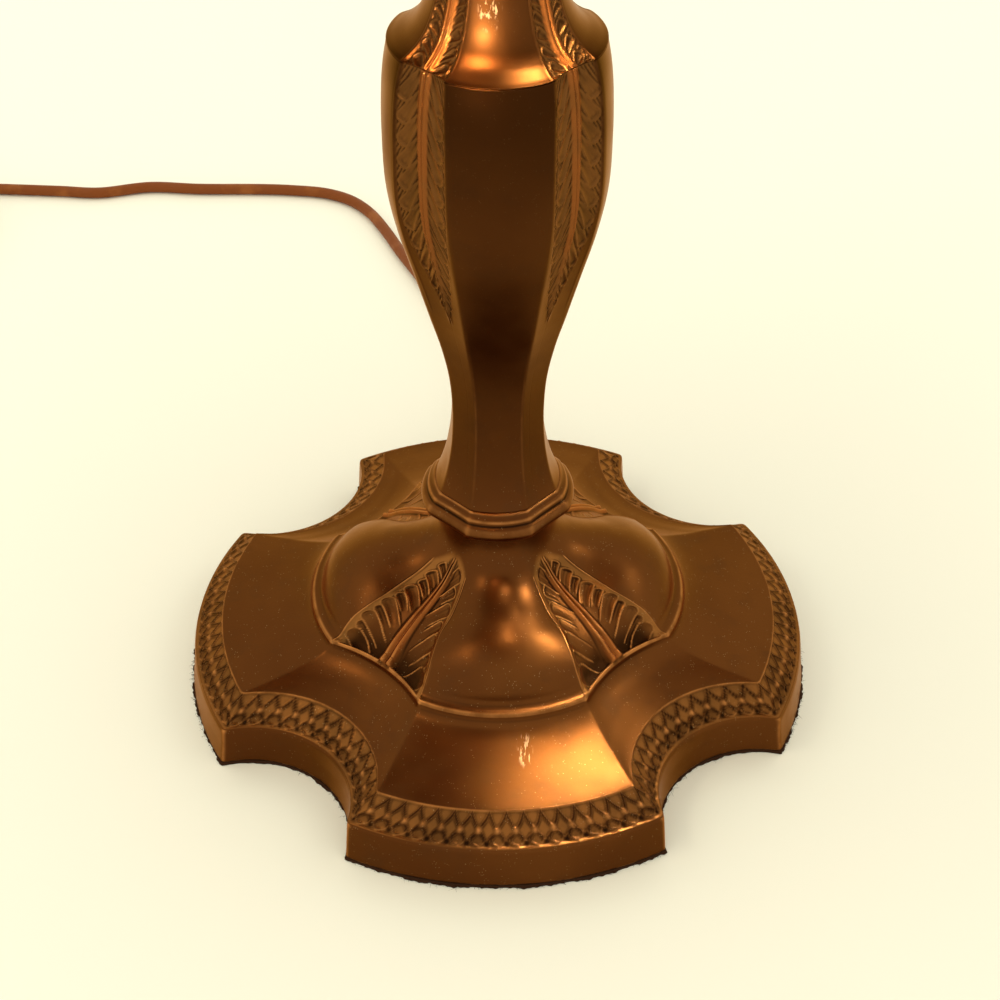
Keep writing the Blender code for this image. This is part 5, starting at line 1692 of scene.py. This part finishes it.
def cap_petals(points):
    """Twelve raised petals round the shade cap."""
    angle, radius, _ = round_measures(points)
    place = ease(0.0160, 0.0185, radius) * ease(0.0325, 0.0295, radius)
    petal = np.abs(np.sin(angle * 6)) ** 0.5
    raised = points.copy()
    raised[..., 2] += 0.0010 * petal * place
    return raised


def make_finial():
    """The fluted finial, screwed onto the riser."""
    bottom = CAP_FLOOR_Z + CAP_T + GAP
    bore = RISER_R + GAP
    outside = in_mm((
        (0.0, 38.0), (1.2, 37.8), (2.1, 37.1), (2.3, 36.2), (1.9, 35.3), (2.6, 34.5), (5.0, 32.5),
        (7.2, 29.8), (8.4, 26.8), (8.8, 23.5), (8.4, 20.4), (7.3, 17.6), (5.6, 15.3), (4.4, 14.0),
        (4.1, 12.6), (4.3, 11.6), (5.8, 11.0), (6.6, 10.0), (6.2, 8.8), (5.5, 7.8), (5.8, 6.2), (7.2, 4.2),
        (9.2, 2.9), (10.0, 1.9), (10.0, 0.4), (9.6, 0.0),
    ), bottom)
    profile = (*outside, (bore, bottom), (bore, RISER_TOP + GAP), (0.0, RISER_TOP + GAP))
    turned_piece("finial_cast", "finial", profile, "patina_bronze", "finial", steps=120, spacing=0.0006,
                 shape=flutes(bottom + 0.0150, bottom + 0.0345, 12, 0.0007))


# ---------------------------------------------------------------- bushing and plug
def along_y(y, z):
    """Places a turned part so that its own +Z points along -Y, from the point (0, y, z)."""
    return Matrix.Translation((0, y, z)) @ Matrix.Rotation(math.pi / 2, 4, "X")


def make_bushing():
    """A tapered grommet through the back of the rim, ribbed so that it bends with the cord."""
    bore = CORD_R + GAP
    ribs = []
    count = 7
    for rib in range(count):
        at = -0.0125 - 0.0021 * rib
        radius = 0.0052 - 0.00019 * rib
        ribs.extend(((radius, at), (radius, at - 0.0011), (radius - 0.0007, at - 0.0013),
                     (radius - 0.0007, at - 0.0019)))
    profile = (
        (0.0040, 0.0), (0.0040, -0.0085), (0.0066, -0.0085), (0.0067, -0.0095), (0.0064, -0.0105),
        (0.0054, -0.0115), *ribs, (0.0036, -BUSHING_LENGTH + 0.0006), (0.0034, -BUSHING_LENGTH),
        (bore, -BUSHING_LENGTH), (bore, 0.0),
    )
    matrix = along_y(BUSHING_INNER_Y, BUSHING_Z)
    turned_piece("cord_grommet", "cord_bushing", profile, "bakelite", matrix=matrix, steps=48, reach=0.0002)


def oval_ring(middle, half_x, half_z, power, count=48):
    """A ring of points about the Y direction: an ellipse at power 1, squarer at lower powers."""
    angle = -2 * np.pi * np.arange(count) / count
    cos, sin = np.cos(angle), np.sin(angle)
    x = half_x * np.copysign(np.abs(cos) ** power, cos)
    z = half_z * np.copysign(np.abs(sin) ** power, sin)
    return np.stack((middle[0] + x, np.full_like(x, middle[1]), middle[2] + z), axis=1)


def make_plug():
    """A flat plug that tapers to a round neck, with grip ribs, and its two blades."""
    low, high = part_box("plug_body")
    middle_x = (low[0] + high[0]) / 2
    middle_z = (low[2] + high[2]) / 2
    wide = (high[0] - low[0]) / 2
    thick = (high[2] - low[2]) / 2
    length = high[1] - low[1]
    stations = [
        (0.0000, 0.0034, 0.0034, 1.0), (0.0030, 0.0038, 0.0037, 1.0), (0.0100, 0.0046, 0.0043, 1.0),
        (0.0130, 0.0060, 0.0048, 0.9), (0.0160, 0.0086, 0.0057, 0.8), (0.0185, 0.0101, 0.0062, 0.7),
    ]
    for rib in range(5):
        at = 0.0200 + 0.0022 * rib
        stations += [(at, wide - 0.0002, thick, 0.62), (at + 0.0008, wide - 0.0002, thick, 0.62),
                     (at + 0.0011, wide - 0.0009, thick - 0.0005, 0.62),
                     (at + 0.0018, wide - 0.0009, thick - 0.0005, 0.62)]
    stations += [
        (0.0315, wide - 0.0002, thick, 0.6), (length - 0.0012, wide - 0.0002, thick, 0.6),
        (length - 0.0004, wide - 0.0006, thick - 0.0004, 0.6), (length, wide - 0.0014, thick - 0.0012, 0.6),
    ]
    rings = [
        oval_ring((middle_x, high[1] - along, middle_z), half_x, half_z, power)
        for along, half_x, half_z, power in stations
    ]
    shells = Shells()
    shells.add_grid(np.stack(rings), close_rows=False, flip=True)
    pieces = [add_piece("plug", shells.mesh("plug", 45), "bakelite", "lamp", ("plug_body",))]
    for word in ("left", "right"):
        pieces.append(make_blade(word))
    return pieces


def make_blade(word):
    """A flat blade with a rounded section and a chamfered tip."""
    node = f"plug_blade_{word}"
    low, high = (Vector(corner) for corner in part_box(node))
    middle = (low + high) / 2
    half = (high - low) / 2
    stations = (
        (high.y, 1.0), (low.y + 0.0026, 1.0), (low.y + 0.0010, 0.90), (low.y + 0.0003, 0.72), (low.y, 0.50),
    )
    rings = [
        oval_ring((middle.x, y, middle.z), half.x * share, half.z * (0.5 + 0.5 * share), 0.25, 24)
        for y, share in stations
    ]
    shells = Shells()
    shells.add_grid(np.stack(rings), close_rows=False, flip=True)
    return add_piece(f"blade_{word}", shells.mesh(f"blade_{word}", 30), "chain_brass", "lamp", (node,))


# ---------------------------------------------------------------- cord
def coil_points():
    """Turns wound as helices in three columns, up, down and up again, then out over the top."""
    low = CORD_R
    step = 2 * CORD_R
    rise = 2 * step
    hop = 1 / 3
    stations = (
        (0.0, COIL_RADII[0], low),
        (2.0, COIL_RADII[0], low + rise),
        (2.0 + hop, COIL_RADII[1], low + rise),
        (4.0 + hop, COIL_RADII[1], low),
        (4.0 + 2 * hop, COIL_RADII[2], low),
        (6.0 + 2 * hop, COIL_RADII[2], low + rise),
        (6.0 + 2 * hop + 0.25, COIL_RADII[2], low + rise + step),
        (7.25, COIL_RADII[0], low + rise + 0.4 * step),
    )
    turns = np.array([station[0] for station in stations])
    places = np.arange(0.04, 7.2501, 1 / 24)
    share = []
    for column in (1, 2):
        values = np.array([station[column] for station in stations])
        at = np.clip(np.searchsorted(turns, places, side="right") - 1, 0, len(turns) - 2)
        t = (places - turns[at]) / (turns[at + 1] - turns[at])
        eased = np.where(turns[at + 1] - turns[at] < 1.5, ease(0.0, 1.0, t), t)
        share.append(values[at] + (values[at + 1] - values[at]) * eased)
    angle = np.pi / 2 + 2 * np.pi * places
    x = COIL_MIDDLE.x + share[0] * np.cos(angle)
    y = COIL_MIDDLE.y + share[0] * np.sin(angle)
    return np.stack((x, y, share[1]), axis=1)


def make_cord():
    """The whole cord as one curve: the run behind the foot, the coil, and down into the plug."""
    plug_low, plug_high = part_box("plug_body")
    entry = (0.5 * (plug_low[0] + plug_high[0]), plug_high[1] - 0.004, 0.5 * (plug_low[2] + plug_high[2]))
    coil = coil_points()
    last = coil[-1]
    gap = last[1] - entry[1]
    down = [
        (last[0] + (entry[0] - last[0]) * share, last[1] - gap * share,
         last[2] + (entry[2] - last[2]) * ease(0.0, 1.0, share))
        for share in (0.12, 0.25, 0.4, 0.55, 0.7, 0.85, 1.0)
    ]
    points = np.vstack((np.array(CORD_ROUTE), coil, np.array(down)))
    path = smooth_path(points, 0.0026)
    curve = bpy.data.curves.new("cord", "CURVE")
    curve.dimensions = "3D"
    curve.bevel_depth = CORD_R
    curve.bevel_resolution = 5
    curve.use_fill_caps = True
    spline = curve.splines.new("POLY")
    spline.points.add(len(path) - 1)
    spline.points.foreach_set("co", np.hstack((path, np.ones((len(path), 1)))).reshape(-1))
    cord = add_piece("cord", curve, "cord_brown", "lamp")
    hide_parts("cord_lead", "cord_coil")
    return cord


# ---------------------------------------------------------------- stage
def aim(thing, place, target):
    """Puts a camera or light at a place and turns it to a target."""
    thing.location = place
    thing.rotation_euler = (Vector(target) - Vector(place)).to_track_quat("-Z", "Y").to_euler()


def make_camera():
    """The camera looks down at the foot from in front, a little to the right of the lamp's front."""
    turn = math.radians(-1.65)
    elevation = math.radians(39.58)
    distance = 0.79744
    target = Matrix.Rotation(turn, 3, "Z") @ Vector((0.00087, 0.0, 0.07942))
    back = Matrix.Rotation(turn, 3, "Z") @ Vector((0.0, -math.cos(elevation), math.sin(elevation)))
    data = bpy.data.cameras.new("camera")
    data.lens = 76.76
    data.sensor_width = 36.0
    data.clip_start = 0.01
    camera = bpy.data.objects.new("camera", data)
    bpy.context.scene.collection.objects.link(camera)
    aim(camera, target + back * distance, target)
    bpy.context.scene.camera = camera


def add_light(name, place, target, power, size, spread, colour):
    """A round area light that the camera doesn't see."""
    data = bpy.data.lights.new(name, "AREA")
    data.energy = power
    data.color = colour
    data.shape = "DISK"
    data.size = size
    data.spread = math.radians(spread)
    light = bpy.data.objects.new(name, data)
    light.visible_camera = False
    light.visible_diffuse = spread > NARROW
    bpy.context.scene.collection.objects.link(light)
    aim(light, place, target)


NARROW = 60.0             # degrees: beams narrower than this only show in the metal

# name, place, target, watts, diameter, spread in degrees, colour
LIGHTS = (
    ("under_shade", (0.118, 0.078, 0.368), (0.021, -0.096, 0.028), 0.0125, 0.055, 9.0, (1.0, 0.94, 0.76)),
    ("dome", (0.145, -0.003, 0.200), (0.010, -0.054, 0.052), 0.0052, 0.060, 16.0, (1.0, 1.0, 0.80)),
    ("shoulder_right", (0.048, -0.022, 0.38), (0.010, -0.026, 0.27), 0.0175, 0.032, 36.0, (1.0, 0.92, 0.66)),
    ("shoulder_left", (-0.042, -0.088, 0.385), (-0.006, -0.03, 0.27), 0.024, 0.042, 40.0, (1.0, 0.70, 0.40)),
    ("neck", (-0.330, -0.980, 0.650), (0.0, -0.020, 0.306), 0.042, 0.040, 7.0, (1.0, 0.86, 0.60)),
    ("left", (-0.650, -0.150, 1.050), (0.0, -0.030, 0.150), 1.0, 0.200, 180.0, (1.0, 0.84, 0.56)),
    ("ceiling", (0.0, 0.0, 2.200), (0.0, 0.001, 0.0), 3.0, 2.400, 180.0, (1.0, 0.94, 0.70)),
)


def make_stage():
    """A pale table top, an even warm surround and the lights."""
    size = 4.0
    low = CAD_BOX[0][2]
    verts = [(-size, -size, low), (size, -size, low), (size, size, low), (-size, size, low)]
    floor = bpy.data.objects.new("floor", mesh_of("floor", verts, [(0, 1, 2, 3)]))
    bpy.context.scene.collection.objects.link(floor)
    nodes = Nodes("floor")
    nodes.set(Base_Color=(0.96, 0.95, 0.87, 1.0), Roughness=0.9, Specular_IOR_Level=0.1)
    floor.data.materials.append(nodes.material)
    world = bpy.data.worlds.new("studio")
    world.use_nodes = True
    world.node_tree.nodes["Background"].inputs[0].default_value = (1.0, 0.97, 0.80, 1.0)
    world.node_tree.nodes["Background"].inputs[1].default_value = 1.15
    bpy.context.scene.world = world
    for light in LIGHTS:
        add_light(*light)
    bpy.context.scene.view_settings.view_transform = "Standard"


# ---------------------------------------------------------------- build
def give_looks():
    """The CAD nodes that stay get the material of their slot."""
    for part in frame["record"]["subparts"]:
        node = frame["nodes"][part["node"]]
        for index in range(len(node.data.materials)):
            node.data.materials[index] = LOOKS[part["material_slot"]]


make_looks()
give_looks()
make_camera()
make_stage()
cord = make_cord()
plug_pieces = make_plug()
make_foot()
make_felt()
make_bushing()
make_collar()
make_stem()
make_neck()
make_neck_cap()
make_cluster()
for word, side in (("left", -1), ("right", 1)):
    make_socket(word, side)
    make_pull(word, side)
    make_bulb(word, side)
make_shade_frame()
make_panes()
make_shade_cap()
make_finial()
